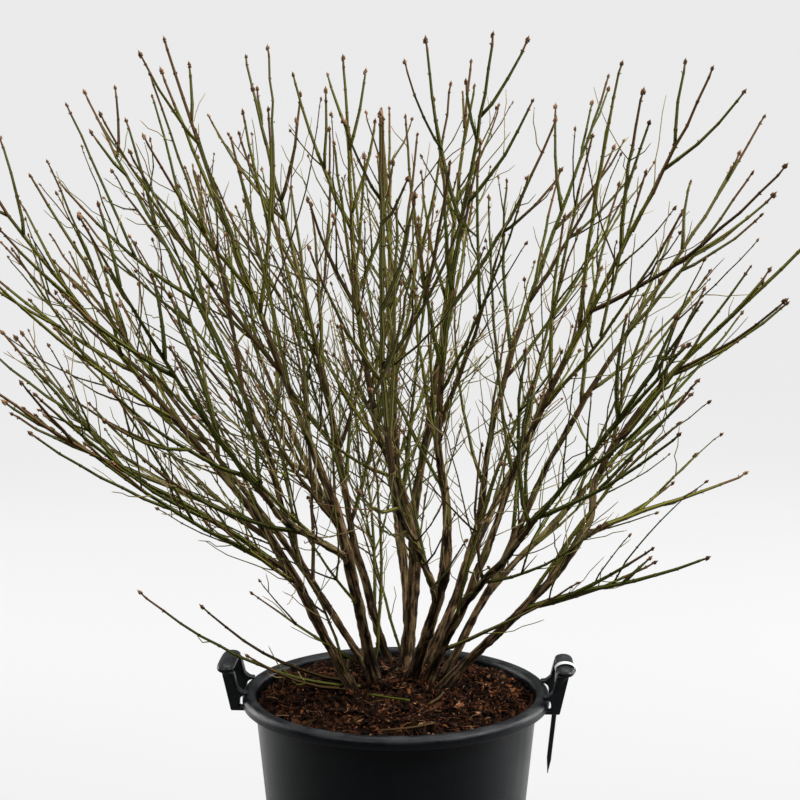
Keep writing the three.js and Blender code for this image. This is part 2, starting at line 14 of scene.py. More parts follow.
import bpy
import numpy as np
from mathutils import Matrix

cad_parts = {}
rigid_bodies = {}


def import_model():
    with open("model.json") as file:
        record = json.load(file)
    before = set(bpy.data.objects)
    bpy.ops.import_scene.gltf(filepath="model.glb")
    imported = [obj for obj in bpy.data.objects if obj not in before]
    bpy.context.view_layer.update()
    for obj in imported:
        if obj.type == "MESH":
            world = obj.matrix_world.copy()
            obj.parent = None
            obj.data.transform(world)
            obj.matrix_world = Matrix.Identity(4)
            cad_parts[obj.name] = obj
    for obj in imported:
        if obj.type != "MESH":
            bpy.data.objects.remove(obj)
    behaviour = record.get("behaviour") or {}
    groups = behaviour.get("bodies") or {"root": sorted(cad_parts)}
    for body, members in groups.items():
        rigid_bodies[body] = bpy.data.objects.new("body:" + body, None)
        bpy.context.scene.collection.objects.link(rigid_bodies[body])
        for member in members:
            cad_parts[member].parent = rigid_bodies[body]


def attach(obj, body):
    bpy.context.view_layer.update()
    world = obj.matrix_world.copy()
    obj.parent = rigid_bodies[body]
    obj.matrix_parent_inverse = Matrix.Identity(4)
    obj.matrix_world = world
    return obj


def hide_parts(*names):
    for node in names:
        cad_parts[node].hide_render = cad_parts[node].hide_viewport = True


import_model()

log = logging.getLogger("bush")
Array = np.ndarray
Rng = np.random.Generator
Pair = tuple[float, float]
Triple = tuple[float, float, float]
Arrays = tuple[Array, Array]
MM = 0.001
UP = np.array([0.0, 0.0, 1.0])


def unit(vectors: Array) -> Array:
    """Vectors scaled to length 1 along the last axis."""
    return vectors / np.maximum(np.linalg.norm(vectors, axis=-1, keepdims=True), 1e-12)


def norm(vectors: Array) -> Array:
    """Lengths along the last axis."""
    return np.linalg.norm(vectors, axis=-1)


def run(line: Array) -> Array:
    """How far along a line each of its points lies."""
    return np.concatenate([[0], np.cumsum(norm(np.diff(line, axis=0)))])


def blend(a: Array, b: Array, share: float) -> Array:
    """The unit vectors at a share of the way from a to b."""
    return unit(a + (b - a) * share)


def lerp(a: float, b: float, share: float) -> float:
    """The value at a share of the way from a to b."""
    return (1 - share) * a + share * b


def smoothstep(x: Array | float, low: float, high: float) -> Array:
    """0 below low, 1 above high, and a smooth rise between them."""
    t = np.clip((np.asarray(x, dtype=float) - low) / (high - low), 0, 1)
    return t * t * (3 - 2 * t)


def heading(lean: float, azimuth: float) -> Array:
    """The unit vector that leans from upright by lean degrees, towards azimuth."""
    tip, turn = math.radians(lean), math.radians(azimuth)
    return np.array([math.sin(tip) * math.cos(turn), math.sin(tip) * math.sin(turn), math.cos(tip)])


def square_to(ways: Array) -> Array:
    """Unit vectors square to the given ways: UP, or X for a steep way, crossed with each."""
    side = np.where(np.abs(ways[..., 2:3]) >= 0.9, [1.0, 0.0, 0.0], UP)
    return unit(np.cross(side, ways))


def beside(ways: Array, turn: Array | float) -> Array:
    """Unit vectors square to the ways, turned about them by angles in radians."""
    across = square_to(ways)
    return across * np.cos(turn) + np.cross(ways, across) * np.sin(turn)


def polar(radius: Array | float, turn: Array | float) -> Array:
    """Plane points (r cos a, r sin a), for angles in radians."""
    return np.stack([radius * np.cos(turn), radius * np.sin(turn)], axis=-1)


def lifted(flat: Array, height: Array | float) -> Array:
    """Plane points given their heights."""
    return np.concatenate([flat, np.broadcast_to(height, flat.shape[:-1])[..., None]], axis=-1)


def even_turns(count: int) -> Array:
    """Angles at even steps round a circle."""
    return np.arange(count) * 2 * np.pi / count


def bezier(control: Array, shares: Array) -> Array:
    """Points of cubic curves: the sum of four control points weighed by Bernstein's polynomials.

    Args:
        control: (..., 4, 3) control points.
        shares: (r,) or (..., r) places from 0 to 1.

    Returns:
        (..., r, 3) points.
    """
    t = np.asarray(shares)[..., None]
    s = 1 - t
    p = [control[..., None, i, :] for i in range(4)]
    return s**3 * p[0] + 3 * s * s * t * p[1] + 3 * s * t * t * p[2] + t**3 * p[3]


def seeded(seed: int) -> Callable[[], float]:
    """Repeatable random numbers from 0 to 1, by the same 32-bit mixing as the solids use.

    Args:
        seed: a whole number.

    Returns:
        A function that draws the next number.
    """
    state = seed & 0xFFFFFFFF

    def draw() -> float:
        """The next number."""
        nonlocal state
        state = (state + 0x6D2B79F5) & 0xFFFFFFFF
        t = ((state ^ (state >> 15)) * (state | 1)) & 0xFFFFFFFF
        t ^= (t + ((t ^ (t >> 7)) * (t | 61))) & 0xFFFFFFFF
        return ((t ^ (t >> 14)) & 0xFFFFFFFF) / 4294967296

    return draw


# Sizes shared with the solids


@dataclass(frozen=True)
class TubSizes:
    """Driving sizes of the tub, its handles and its label strap."""

    height: float = 300
    rim_radius: float = 185
    lip_depth: float = 13.5
    lip_bend: float = 7.5
    wall: float = 2.5
    top_radius: float = 170.5
    foot_radius: float = 141.5
    drain_circle: float = 104
    drain_radius: float = 8
    drain_holes: int = 8
    soil_drop: float = 10
    soil_mound: float = 13
    soil_bump: float = 3.5

    @property
    def ground(self) -> float:
        """The height of the bark's top at the stool."""
        return self.height - self.soil_drop + self.soil_mound


@dataclass(frozen=True)
class StemPlan:
    """One stem: its foot on the stool, its fork from the focus, its thickness and its heads."""

    foot: Pair
    fork: Triple
    thick: float
    heads: tuple[tuple[float, ...], ...]


@dataclass(frozen=True)
class PlantSizes:
    """Driving sizes of the plant's limbs, as its solids have them."""

    stool: Pair = (4, 20)
    stool_radius: float = 50
    stool_height: float = 12
    focus_depth: float = 20
    reach: float = 850
    top_dip: float = 0.085
    skirt_dip: float = 0.64
    skirt: Pair = (33, 74)
    low_dip: float = 0.1
    low: Pair = (45, 60)
    right_dip: float = 0.14
    entry: float = 0.46
    heel: float = 5
    heel_least: float = 12
    flare: float = 1.5
    flare_length: float = 22
    fork_thick: float = 0.82
    after_fork: float = 0.85
    bough_share: float = 0.74
    bough_tip: float = 7.4
    bough_least: float = 110
    leader_thick: float = 6.2
    tip_thick: float = 2.6
    leader_steps: int = 4
    shoot_thick: float = 4.4
    shoot_steps: int = 2
    spur_thick: float = 3.2
    spur_steps: int = 1
    shoot_pairs: int = 4
    shoot_angle: Pair = (22, 38)
    shoot_fill: Pair = (0.5, 0.94)
    spur_share: float = 0.42
    spur_least: float = 190
    upturn: float = 0.12
    twig_clear: float = 1.3
    seed: int = 4127
    stems: tuple[StemPlan, ...] = (
        StemPlan((65, 218), (287, 37, 200), 12.5, ((37, 192), (50, 208, 0.34), (53, 180, 0.45))),
        StemPlan((28, 159), (211, 40, 156), 10, ((29, 163), (43, 153, 0.4))),
        StemPlan((33, 213), (279, 25, 231), 14.5, ((22, 218), (41, 235, 0.36))),
        StemPlan((31, 105), (194, 26, 130), 11.5, ((16, 148), (38, 127, 0.4))),
        StemPlan((10, 53), (203, 10, 62), 17, ((5, 195), (14, 62, 0.5))),
        StemPlan((19, 302), (221, 26, 305), 15.5, ((16, 296), (35, 268, 0.32))),
        StemPlan((35, 47), (198, 36, 40), 13, ((25, 40), (44, 52, 0.42))),
        StemPlan((33, 327), (226, 36, 314), 12, ((28, 325), (45, 303, 0.34))),
        StemPlan((49, 9), (197, 41, 18), 11, ((33, 12), (48, 26, 0.38))),
        StemPlan((55, 321), (324, 45, 347), 11.5, ((40, 349), (57, 3, 0.45), (61, 336, 0.25))),
        StemPlan((50, 74), (174, 41, 87), 10, ((30, 92), (47, 92, 0.38))),
    )
    low_shoots: tuple[tuple[Pair, Triple], ...] = (
        ((49, 226), (302, 64, 194)),
        ((50, 194), (212, 62, 189)),
        ((67, 219), (143, 68, 200)),
    )


# The growing rule


@dataclass
class Limb:
    """One limb: a coarse line with radii, where others branch off, and the curves that it follows."""

    points: Array
    radii: Array
    curves: Array
    parent: "Limb | None" = None

    def along(self, share: float) -> tuple[Array, Array, float]:
        """The point, way and radius at a share of the coarse line."""
        last = len(self.points) - 1
        i = min(int(share * last), last - 1)
        t = share * last - i
        a, b = self.points[i], self.points[i + 1]
        return a + (b - a) * t, unit(b - a), lerp(self.radii[i], self.radii[i + 1], t)


@dataclass
class Head:
    """One head of twigs: its name, its way, the shoots in it and the limb that carries it."""

    name: str
    way: Array
    carrier: Limb
    azimuth: float
    shoots: list[Limb] = field(default_factory=list)


def sweep(start: Array, out: Array, end: Array, into: Array, steps: int) -> Arrays:
    """A cubic curve that leaves start along out and arrives at end along into.

    Returns:
        Its points at even steps, and its four control points.
    """
    pull = norm(end - start) / 3
    control = np.stack([start, start + out * pull, end - into * pull, end])
    return bezier(control, np.linspace(0, 1, steps + 1)), control


def taper(count: int, first: float, last: float) -> Array:
    """Radii that fall evenly from the first diameter to the last."""
    return np.linspace(first, last, count) / 2


def segment_gaps(a: Array, b: Array, c: Array, d: Array) -> Array:
    """The least distances between one segment a-b and each segment c-d, by the closest points of two lines."""
    u, v, w = b - a, d - c, a - c
    uu, uv, vv, uw, vw = u @ u, v @ u, (v * v).sum(1), w @ u, (v * w).sum(1)
    det = uu * vv - uv * uv
    apart = det > 1e-9
    s = np.where(apart, np.clip((uv * vw - vv * uw) / np.where(apart, det, 1), 0, 1), 0)
    t = np.clip((uv * s + vw) / vv, 0, 1)
    s = np.clip((uv * t - uw) / uu, 0, 1)
    return norm(w + s[:, None] * u - t[:, None] * v)


@dataclass
class Bush:
    """The plant's limbs, grown by the rule of its solids in the same order and with the same seeds."""

    sizes: PlantSizes
    ground: float
    grown: list[Limb] = field(default_factory=list)
    boughs: dict[str, Limb] = field(default_factory=dict)
    heads: list[Head] = field(default_factory=list)

    def __post_init__(self) -> None:
        """Grows every limb."""
        s = self.sizes
        self.focus = np.array([*s.stool, self.ground - s.focus_depth])
        self.stems = [self._grow_stem(plan) for plan in s.stems]
        shares = self._carry_heads()
        for head, share in zip(self.heads, shares):
            head.shoots.append(self._grow_leader(head, share))
        self.low = [self._grow_low_shoot(*plan) for plan in s.low_shoots]
        self.ways = np.stack([head.way for head in self.heads])
        for index, head in enumerate(self.heads):
            self._grow_head(head, index)

    def reach_at(self, lean: Array) -> Array:
        """How far the plant reaches from the focus at a lean in degrees."""
        s = self.sizes
        top = 1 - s.top_dip * (1 - smoothstep(lean, 4, 26))
        return s.reach * top * (1 - s.skirt_dip * smoothstep(lean, *s.skirt))

    def reach_towards(self, ways: Array) -> Array:
        """How far side shoots reach from the focus in each way: less low down and on the right."""
        s = self.sizes
        lean = np.degrees(np.arccos(np.clip(ways[..., 2], -1, 1)))
        low = 1 - s.low_dip * smoothstep(lean, *s.low)
        return self.reach_at(lean) * low * (1 - s.right_dip * smoothstep(ways[..., 0], 0.35, 0.7))

    def _remember(self, limb: Limb) -> Limb:
        """Keeps a limb, so that later ones stay clear of it."""
        self.grown.append(limb)
        return limb

    def on_stool(self, foot: Pair, height: float) -> Array:
        """A place on the stool: distance and azimuth from its middle, and height from the ground."""
        turn = math.radians(foot[1])
        x, y = self.sizes.stool
        return np.array([x + foot[0] * math.cos(turn), y + foot[0] * math.sin(turn), self.ground + height])

    def _entry_of(self, head: tuple[float, ...]) -> Arrays:
        """Where a limb enters a head's space, and its way there."""
        way = heading(*head[:2])
        return self.focus + way * self.sizes.entry * self.reach_at(head[0]), way

    def _grow_stem(self, plan: StemPlan) -> Limb:
        """A stem, from under the ground past its fork to the space of its first head."""
        s = self.sizes
        start = self.on_stool(plan.foot, -8)
        middle = self.focus + heading(*plan.fork[1:]) * plan.fork[0]
        end, way = self._entry_of(plan.heads[0])
        through = blend(unit(middle - start), unit(end - middle), 0.5)
        lower, first = sweep(start, unit(middle - start), middle, through, 4)
        upper, second = sweep(middle, through, end, way, 4)
        points = np.concatenate([lower, upper[1:]])
        flare = 1 + (s.flare - 1) * np.exp(-norm(points - start) / s.flare_length)
        below = plan.thick / 2 * flare[:5] * np.linspace(1, s.fork_thick, 5)
        above = np.linspace(plan.thick * s.fork_thick * s.after_fork, s.bough_tip, 5)[1:] / 2
        return self._remember(Limb(points, np.concatenate([below, above]), np.stack([first, second])))

    def _carry_heads(self) -> list[float]:
        """Grows the side boughs and names each head. Returns where each leader leaves its carrier."""
        s = self.sizes
        shares = []
        for number, (stem, plan) in enumerate(zip(self.stems, s.stems), 1):
            for h, head in enumerate(plan.heads):
                name = f"{number:02d}_{h + 1}"
                seat = stem.along(head[2] if h else 1)[0]
                side = h > 0 and norm(seat - self._entry_of(head)[0]) > s.bough_least
                carrier = self._grow_bough(stem, plan.thick, head) if side else stem
                if side:
                    self.boughs[name] = carrier
                shares.append(1 if side or h == 0 else head[2])
                self.heads.append(Head(name, heading(*head[:2]), carrier, head[1]))
        return shares

    def _grow_bough(self, stem: Limb, thick: float, head: tuple[float, ...]) -> Limb:
        """A side bough, from its stem's side to the space of its head."""
        s = self.sizes
        seat, along, _ = stem.along(head[2])
        end, way = self._entry_of(head)
        out = blend(along, unit(end - seat), 0.75)
        points, control = sweep(seat, out, end, way, 5)
        first = max(thick * s.fork_thick * s.bough_share, s.bough_tip + 0.6)
        return self._remember(Limb(points, taper(6, first, s.bough_tip), control[None], stem))

    def _grow_leader(self, head: Head, share: float) -> Limb:
        """The leading shoot of a head, from its carrier's tip or side to the outline."""
        s = self.sizes
        seat, along, _ = head.carrier.along(share)
        lean = math.degrees(math.acos(head.way[2]))
        end = self.focus + head.way * self.reach_at(lean) * 0.985
        out = along if share == 1 else blend(along, unit(end - seat), 0.7)
        points, control = sweep(seat, out, end, blend(unit(end - seat), UP, s.upturn), s.leader_steps)
        radii = taper(len(points), s.leader_thick, s.tip_thick)
        return self._remember(Limb(points, radii, control[None], head.carrier))

    def _grow_low_shoot(self, foot: Pair, shoot: Triple) -> Limb:
        """A low shoot that leaves the stool nearly level and turns up to its tip."""
        length, lean, azimuth = shoot
        start = self.on_stool(foot, 3)
        end = start + heading(lean, azimuth) * length
        points, control = sweep(start, heading(min(lean + 24, 86), azimuth), end, heading(lean - 18, azimuth), 5)
        radii = taper(6, self.sizes.shoot_thick, self.sizes.tip_thick)
        return self._remember(Limb(points, radii, control[None]))

    def _is_clear(self, limb: Limb) -> bool:
        """Whether a new limb keeps clear of all others. It meets its own parent only at its root."""
        for other in self.grown:
            c, d = other.points[:-1], other.points[1:]
            for i in range(1 if other is limb.parent else 0, len(limb.points) - 1):
                need = limb.radii[i] + other.radii[:-1] + self.sizes.twig_clear
                if (segment_gaps(limb.points[i], limb.points[i + 1], c, d) < need).any():
                    return False
        return True

    def _in_space(self, points: Array, own: Array) -> bool:
        """Whether points lie in a head's own space, nearer its way than any other's and inside the outline."""
        away = points - self.focus
        ways = unit(away)
        inside = norm(away) <= self.reach_towards(ways)
        nearest = (ways @ self.ways.T <= (ways @ own)[:, None] + 1e-9).all(axis=1)
        return bool((inside & nearest).all())

    def _grow_shoot(self, parent: Limb, share: float, turn: float, thick: float, steps: int, own: Array,
                    seed: int) -> Limb | None:
        """One side shoot of a parent, or None where there is no room. Each new try turns it a little."""
        s = self.sizes
        seat, along, radius = parent.along(share)
        outwards = unit(seat - self.focus)
        room = self.reach_towards(outwards) - norm(seat - self.focus)
        for attempt in range(5):
            draw = seeded(seed + attempt * 101)
            angle = math.radians(lerp(*s.shoot_angle, draw()) * (1 - attempt * 0.1))
            around = turn + (draw() - 0.5) * 0.7 + attempt * 0.5
            length = max(room, 60) * lerp(*s.shoot_fill, draw()) * (1 - attempt * 0.08)
            out = along * math.cos(angle) + beside(along, around) * math.sin(angle)
            into = blend(blend(out, outwards, 0.5), UP, s.upturn)
            end = seat + blend(out, into, 0.5) * length
            points, control = sweep(seat, out, end, into, steps)
            radii = taper(steps + 1, min(thick, radius * 2), s.tip_thick * 0.9)
            shoot = Limb(points, radii, control[None], parent)
            if self._in_space(points[1:], own) and self._is_clear(shoot):
                return self._remember(shoot)
        return None

    def _grow_head(self, head: Head, index: int) -> None:
        """Opposite pairs of side shoots that turn a quarter from pair to pair, with spurs on the long ones."""
        s = self.sizes
        leader = head.shoots[0]
        first = s.seed + index * 977
        quarter = seeded(first)() * math.pi
        for i in range(s.shoot_pairs * 2):
            pair, half = divmod(i, 2)
            share = lerp(0.06, 0.8, (pair + 0.25 * half) / (s.shoot_pairs - 0.75))
            turn = quarter + pair * math.pi / 2 + half * math.pi
            seed = first + pair * 31 + half * 7
            shoot = self._grow_shoot(leader, share, turn, s.shoot_thick, s.shoot_steps, head.way, seed)
            if shoot is None:
                continue
            head.shoots.append(shoot)
            if norm(shoot.points[-1] - shoot.points[0]) < s.spur_least:
                continue
            side = turn + math.pi / 2
            spur = self._grow_shoot(shoot, s.spur_share, side, s.spur_thick, s.spur_steps, head.way, seed + 13)
            if spur is not None:
                head.shoots.append(spur)


# Finer twigs


@dataclass
class Sprays:
    """Many shoots of one order, each on one cubic curve."""

    control: Array  # (n, 4, 3)
    root: Array  # (n,) radius at the root
    tip: Array  # (n,) radius at the tip
    tint: Array  # (n,) a number for each spray, that picks its colours
    sector: Array  # (n,) the part of the plant that it belongs to

    def __len__(self) -> int:
        """How many shoots there are."""
        return len(self.control)

    @property
    def lengths(self) -> Array:
        """The length of each curve, from its chord and its control polygon."""
        chord = norm(self.control[:, 3] - self.control[:, 0])
        polygon = norm(np.diff(self.control, axis=1)).sum(axis=1)
        return (chord + polygon) / 2

    def radii(self, shares: Array) -> Array:
        """Radii that fall evenly from root to tip."""
        return self.root[:, None] + (self.tip - self.root)[:, None] * shares

    def ways(self, shares: Array) -> Array:
        """Unit ways at shares of each curve."""
        return unit(bezier(self.control, shares + 0.01) - bezier(self.control, shares - 0.01))

    def tip_ways(self) -> Array:
        """Unit ways at the tips."""
        return unit(self.control[:, 3] - self.control[:, 2])

    def pick(self, chosen: Array) -> "Sprays":
        """Only the chosen shoots, by mask or index."""
        return Sprays(*(values[chosen] for values in vars(self).values()))

    @staticmethod
    def joined(parts: list["Sprays"]) -> "Sprays":
        """Several lots of shoots as one."""
        return Sprays(*(np.concatenate(v) for v in zip(*(vars(part).values() for part in parts))))

    @staticmethod
    def of_limbs(limbs: Sequence[Limb], tints: Sequence[int], sectors: Sequence[int], tip: float) -> "Sprays":
        """Shoots from grown limbs of one curve each, with their tips thinned to a share of the solid's."""
        curves = np.stack([limb.curves[0] for limb in limbs])
        roots, tips = (np.array([limb.radii[end] for limb in limbs]) for end in (0, -1))
        return Sprays(curves, roots, tips * tip, np.array(tints), np.array(sectors))


@dataclass(frozen=True)
class Order:
    """How one order of finer twigs grows on its parents. Millimetres and degrees."""

    spacing: float
    chance: float
    first: float
    last: float
    angle: Pair
    length: Pair
    thick: Pair
    tip: float
    outwards: float
    upturn: float
    wander: float
    limit: Pair


@dataclass
class FinerTwigs:
    """Grows opposite twigs on shoots, turned a quarter from pair to pair, inside the plant's outline."""

    bush: Bush
    cuts: int = 4  # steps that shorten a twig
    cut: float = 0.78  # what a step leaves of it

    def grow(self, parents: Sprays, order: Order, seed: int) -> Sprays:
        """The twigs of one order.

        At node k of a parent, out = way cos(angle) + side sin(angle), where side turns by 90 degrees from node
        to node, and the twig then bends outwards and up. A twig that would leave the outline is cut short, and
        one that is left too short is dropped.

        Args:
            parents: the shoots that carry the twigs.
            order: the order's sizes.
            seed: for the random numbers.

        Returns:
            The twigs.
        """
        rng = np.random.default_rng(seed)
        count = np.maximum((parents.lengths * (order.last - order.first) / order.spacing).astype(int), 0)
        lots = [self._on_parents(parents.pick(count == n), n, order, rng) for n in np.unique(count) if n > 0]
        return Sprays.joined(lots)

    def _on_parents(self, parents: Sprays, nodes: int, order: Order, rng: Rng) -> Sprays:
        """The twigs of parents that all have the same number of nodes."""
        n = len(parents)
        shares = (np.arange(nodes) + rng.uniform(0.3, 0.7, (n, nodes))) / nodes
        shares = order.first + (order.last - order.first) * shares
        seats = bezier(parents.control, shares)
        ways = parents.ways(shares)
        quarter = rng.uniform(0, np.pi, (n, 1)) + np.arange(nodes) * np.pi / 2
        lots = []
        for half in (0, 1):
            around = quarter + half * np.pi + rng.normal(0, 0.2, (n, nodes))
            curves = self._curves(seats, ways, around, order, rng)
            grows = (rng.random((n, nodes)) < order.chance) & (curves[..., 1, 2] > seats[..., 2] - 2)
            spray = Sprays(
                curves,
                np.minimum(rng.uniform(*order.thick, (n, nodes)) / 2, parents.radii(shares) * 0.92),
                np.full((n, nodes), order.tip / 2),
                parents.tint[:, None] + rng.integers(0, 2, (n, nodes)) * 7,
                np.broadcast_to(parents.sector[:, None], (n, nodes)),
            )
            long_enough = norm(curves[..., 3, :] - seats) > order.length[0] * 0.6
            lots.append(spray.pick(grows & long_enough))
        return Sprays.joined(lots)

    def _curves(self, seats: Array, ways: Array, around: Array, order: Order, rng: Rng) -> Array:
        """Control points of twigs that leave their seats at the order's angles and stay in the outline."""
        shape = seats.shape[:-1]
        angle = np.radians(rng.uniform(*order.angle, shape))[..., None]
        out = ways * np.cos(angle) + beside(ways, around[..., None]) * np.sin(angle)
        away = seats - self.bush.focus
        into = blend(blend(out, unit(away), order.outwards), UP, order.upturn)
        into = unit(into + rng.normal(0, order.wander, (*shape, 3)))
        chord = blend(out, into, 0.5)
        wanted = order.length[0] + (order.length[1] - order.length[0]) * rng.random(shape) ** 1.6
        length = self._room(seats, chord, wanted, rng.uniform(*order.limit, shape))[..., None]
        end = seats + chord * length
        return np.stack([seats, seats + out * length / 3, end - into * length / 3, end], axis=-2)

    def _room(self, seats: Array, ways: Array, wanted: Array, limit: Array) -> Array:
        """The wanted lengths, cut back in steps where the end would pass a share of the outline, or 0."""
        length = wanted.copy()
        for _ in range(self.cuts):
            away = seats + ways * length[..., None] - self.bush.focus
            out = norm(away) > self.bush.reach_towards(unit(away)) * limit
            length = np.where(out, length * self.cut, length)
        return np.where(out, 0.0, length)


# Meshes


def put(name: str, data: bpy.types.ID, place: Triple = (0, 0, 0), turn: Triple = (0, 0, 0)) -> bpy.types.Object:
    """Makes an object of the scene, at a place in metres and turned by angles in radians."""
    made = bpy.data.objects.new(name, data)
    made.location, made.rotation_euler = place, turn
    bpy.context.scene.collection.objects.link(made)
    return made


@dataclass
class Surface:
    """Faces gathered from several grids, joined later into one piece. Places are in millimetres."""

    places: list[Array] = field(default_factory=list)
    faces: list[Array] = field(default_factory=list)
    tones: list[Array] = field(default_factory=list)
    reliefs: list[Array] = field(default_factory=list)
    grains: list[Array] = field(default_factory=list)
    count: int = 0

    def add(self, points: Array, faces: Array, tones: Array | int = 0, relief: Array | float = 0.0,
            grain: Array | None = None) -> None:
        """Adds faces between points.

        Args:
            points: (v, 3) places.
            faces: (f, k) corners of each face, counted from the first of these points.
            tones: the material number of each face, or one for all.
            relief: height of each point over its surface's mean, for the finish.
            grain: (v, 3) where each point lies in the grain of its finish.
        """
        self.places.append(points)
        self.faces.append(faces + self.count)
        self.tones.append(np.broadcast_to(tones, len(faces)))
        self.reliefs.append(np.broadcast_to(relief, len(points)))
        self.grains.append(np.zeros((len(points), 3)) if grain is None else grain)
        self.count += len(points)

    def add_rings(self, rings: Array, tones: Array | int = 0, relief: Array | float = 0.0, capped: bool = True,
                  grain: Array | None = None) -> "Surface":
        """Adds closed rings of points joined into tubes, with flat caps.

        Args:
            rings: (n, r, k, 3), n tubes of r rings of k points that turn anticlockwise about the tube's way.
            tones: a material number for all, or (n, r - 1, k) of them.
            relief: a height for all, or (n, r, k) of them.
            capped: whether the first and last ring are closed.
            grain: (n r k, 3) places in the grain.

        Returns:
            This surface.
        """
        n, r, k, _ = rings.shape
        index = np.arange(n * r * k).reshape(n, r, k)
        tones = np.broadcast_to(tones, (n, r - 1, k))
        relief = np.broadcast_to(relief, (n, r, k)).reshape(-1)
        before = self.count
        self.add(rings.reshape(-1, 3), ring_quads(index), tones.reshape(-1), relief, grain)
        if capped:
            self.faces += [index[:, 0, ::-1] + before, index[:, -1] + before]
            self.tones += [tones[:, 0, 0], tones[:, -1, 0]]
        return self

    def add_copies(self, shape: Array, faces: Array, places: Array, axes: Array, tones: Array) -> "Surface":
        """Adds copies of one small shape, each at its own place and along its own three axes.

        Args:
            shape: (v, 3) corners of the shape.
            faces: (f, k) its faces.
            places: (n, 3) where the copies stand.
            axes: (n, 3, 3) the three axes of each, with their lengths.
            tones: a material number for each copy.

        Returns:
            This surface.
        """
        points = np.einsum("vj,njk->nvk", shape, axes) + places[:, None]
        every = (faces + (np.arange(len(places)) * len(shape))[:, None, None]).reshape(-1, faces.shape[1])
        self.add(points.reshape(-1, 3), every, np.repeat(tones, len(faces)))
        return self

    def piece(self, name: str, finishes: "Sequence[Finish]", nodes: list[str], slot: str, smooth: bool = True) -> None:
        """Makes the gathered faces one piece that rides on the plant's only body.

        Args:
            name: the piece's name.
            finishes: the materials, in the order of the tones.
            nodes: the solids that the piece stands for.
            slot: not used.
            smooth: whether its faces shade smoothly.
        """
        mesh = bpy.data.meshes.new(name)
        corners = np.concatenate([f.reshape(-1) for f in self.faces])
        totals = np.concatenate([np.full(len(f), f.shape[1]) for f in self.faces])
        mesh.vertices.add(self.count)
        mesh.vertices.foreach_set("co", (np.concatenate(self.places) * MM).astype(np.float32).ravel())
        mesh.loops.add(len(corners))
        mesh.loops.foreach_set("vertex_index", corners.astype(np.int32))
        mesh.polygons.add(len(totals))
        mesh.polygons.foreach_set("loop_start", np.concatenate([[0], np.cumsum(totals)[:-1]]).astype(np.int32))
        mesh.polygons.foreach_set("material_index", np.concatenate(self.tones).astype(np.int32))
        mesh.polygons.foreach_set("use_smooth", np.full(len(totals), smooth))
        relief = mesh.attributes.new("relief", "FLOAT", "POINT").data
        relief.foreach_set("value", np.concatenate(self.reliefs).astype(np.float32))
        grain = mesh.attributes.new("grain", "FLOAT_VECTOR", "POINT").data
        grain.foreach_set("vector", (np.concatenate(self.grains) * MM).astype(np.float32).ravel())
        for finish in finishes:
            mesh.materials.append(finish.material())
        mesh.update(calc_edges=True)
        mesh.validate()
        made = put(name, mesh)
        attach(made, "root")
        if nodes:
            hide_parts(*nodes)
        log.info("%s: %d triangles, for %d solids", name, (totals - 2).sum(), len(nodes))


def ring_quads(index: Array) -> Array:
    """The four corners of each face between neighbouring closed rings of point numbers, (..., r, k)."""
    turned = np.roll(index, -1, axis=-1)
    corners = [index[..., :-1, :], turned[..., :-1, :], turned[..., 1:, :], index[..., 1:, :]]
    return np.stack(corners, axis=-1).reshape(-1, 4)


def split(quads: Array) -> Array:
    """Two triangles for each four-cornered face."""
    return quads[:, [0, 1, 2, 0, 2, 3]].reshape(-1, 3)


def tube_rings(line: Array, radius: Array, section: Array) -> Array:
    """Rings around lines: centre + radius (sx across + sy up) for each corner (sx, sy) of the section.

    Across is a vector square to the whole chord, made square to the way at each point, so the rings don't twist.

    Args:
        line: (n, r, 3) centres.
        radius: (n, r) radii.
        section: (k, 2) or (n, r, k, 2) corners of the section on a unit circle.

    Returns:
        (n, r, k, 3) points.
    """
    ways = unit(np.gradient(line, axis=1))
    side = square_to(unit(line[:, -1] - line[:, 0]))[:, None]
    across = unit(side - ways * (side * ways).sum(-1, keepdims=True))
    up = np.cross(ways, across)
    spread = section[..., :1] * across[:, :, None] + section[..., 1:] * up[:, :, None]
    return line[:, :, None] + radius[..., None, None] * spread


def round_section(sides: int) -> Array:
    """The corners of a regular section on a unit circle."""
    return polar(1.0, even_turns(sides))


def ridged_section(height: float, half_width: float) -> Array:
    """A section with four narrow corky ridges, each with a foot, a crest and a foot, and flats between them.

    Args:
        height: how far a crest stands out, as a share of the radius.
        half_width: half the ridge's foot, in degrees.

    Returns:
        (12, 2) corners.
    """
    half = math.radians(half_width)
    turn = (np.arange(4)[:, None] * np.pi / 2 + np.array([-half, 0, half])).ravel()
    return polar(np.tile([1.0, 1.0 + height, 1.0], 4), turn)


def lattice_noise(x: Array, y: Array, cells: int, rows: int, seed: int) -> Array:
    """Smooth random heights from -1 to 1, blended by smoothstep between the points of a lattice that repeats.

    Args:
        x: places across, in cells.
        y: places along, in rows.
        cells: how many cells there are across.
        rows: how many rows there are.
        seed: for the points' heights.

    Returns:
        Heights, in the shape of x and y together.
    """
    lattice = np.random.default_rng(seed).uniform(-1, 1, (cells, rows))
    i, j = np.floor(x).astype(int), np.floor(y).astype(int)
    fx, fy = smoothstep(x - i, 0, 1), smoothstep(y - j, 0, 1)
    i0, i1, j0, j1 = i % cells, (i + 1) % cells, j % rows, (j + 1) % rows
    low = lattice[i0, j0] * (1 - fx) + lattice[i1, j0] * fx
    high = lattice[i0, j1] * (1 - fx) + lattice[i1, j1] * fx
    return low * (1 - fy) + high * fy


def wrapped_noise(turn: Array, along: Array, cells: int, pitch: float, seed: int) -> Array:
    """Noise on a tube, closed round its turn from 0 to 1, with rows of a pitch in millimetres along it."""
    return lattice_noise(turn * cells, along / pitch, cells, int(np.max(along) / pitch) + 3, seed)


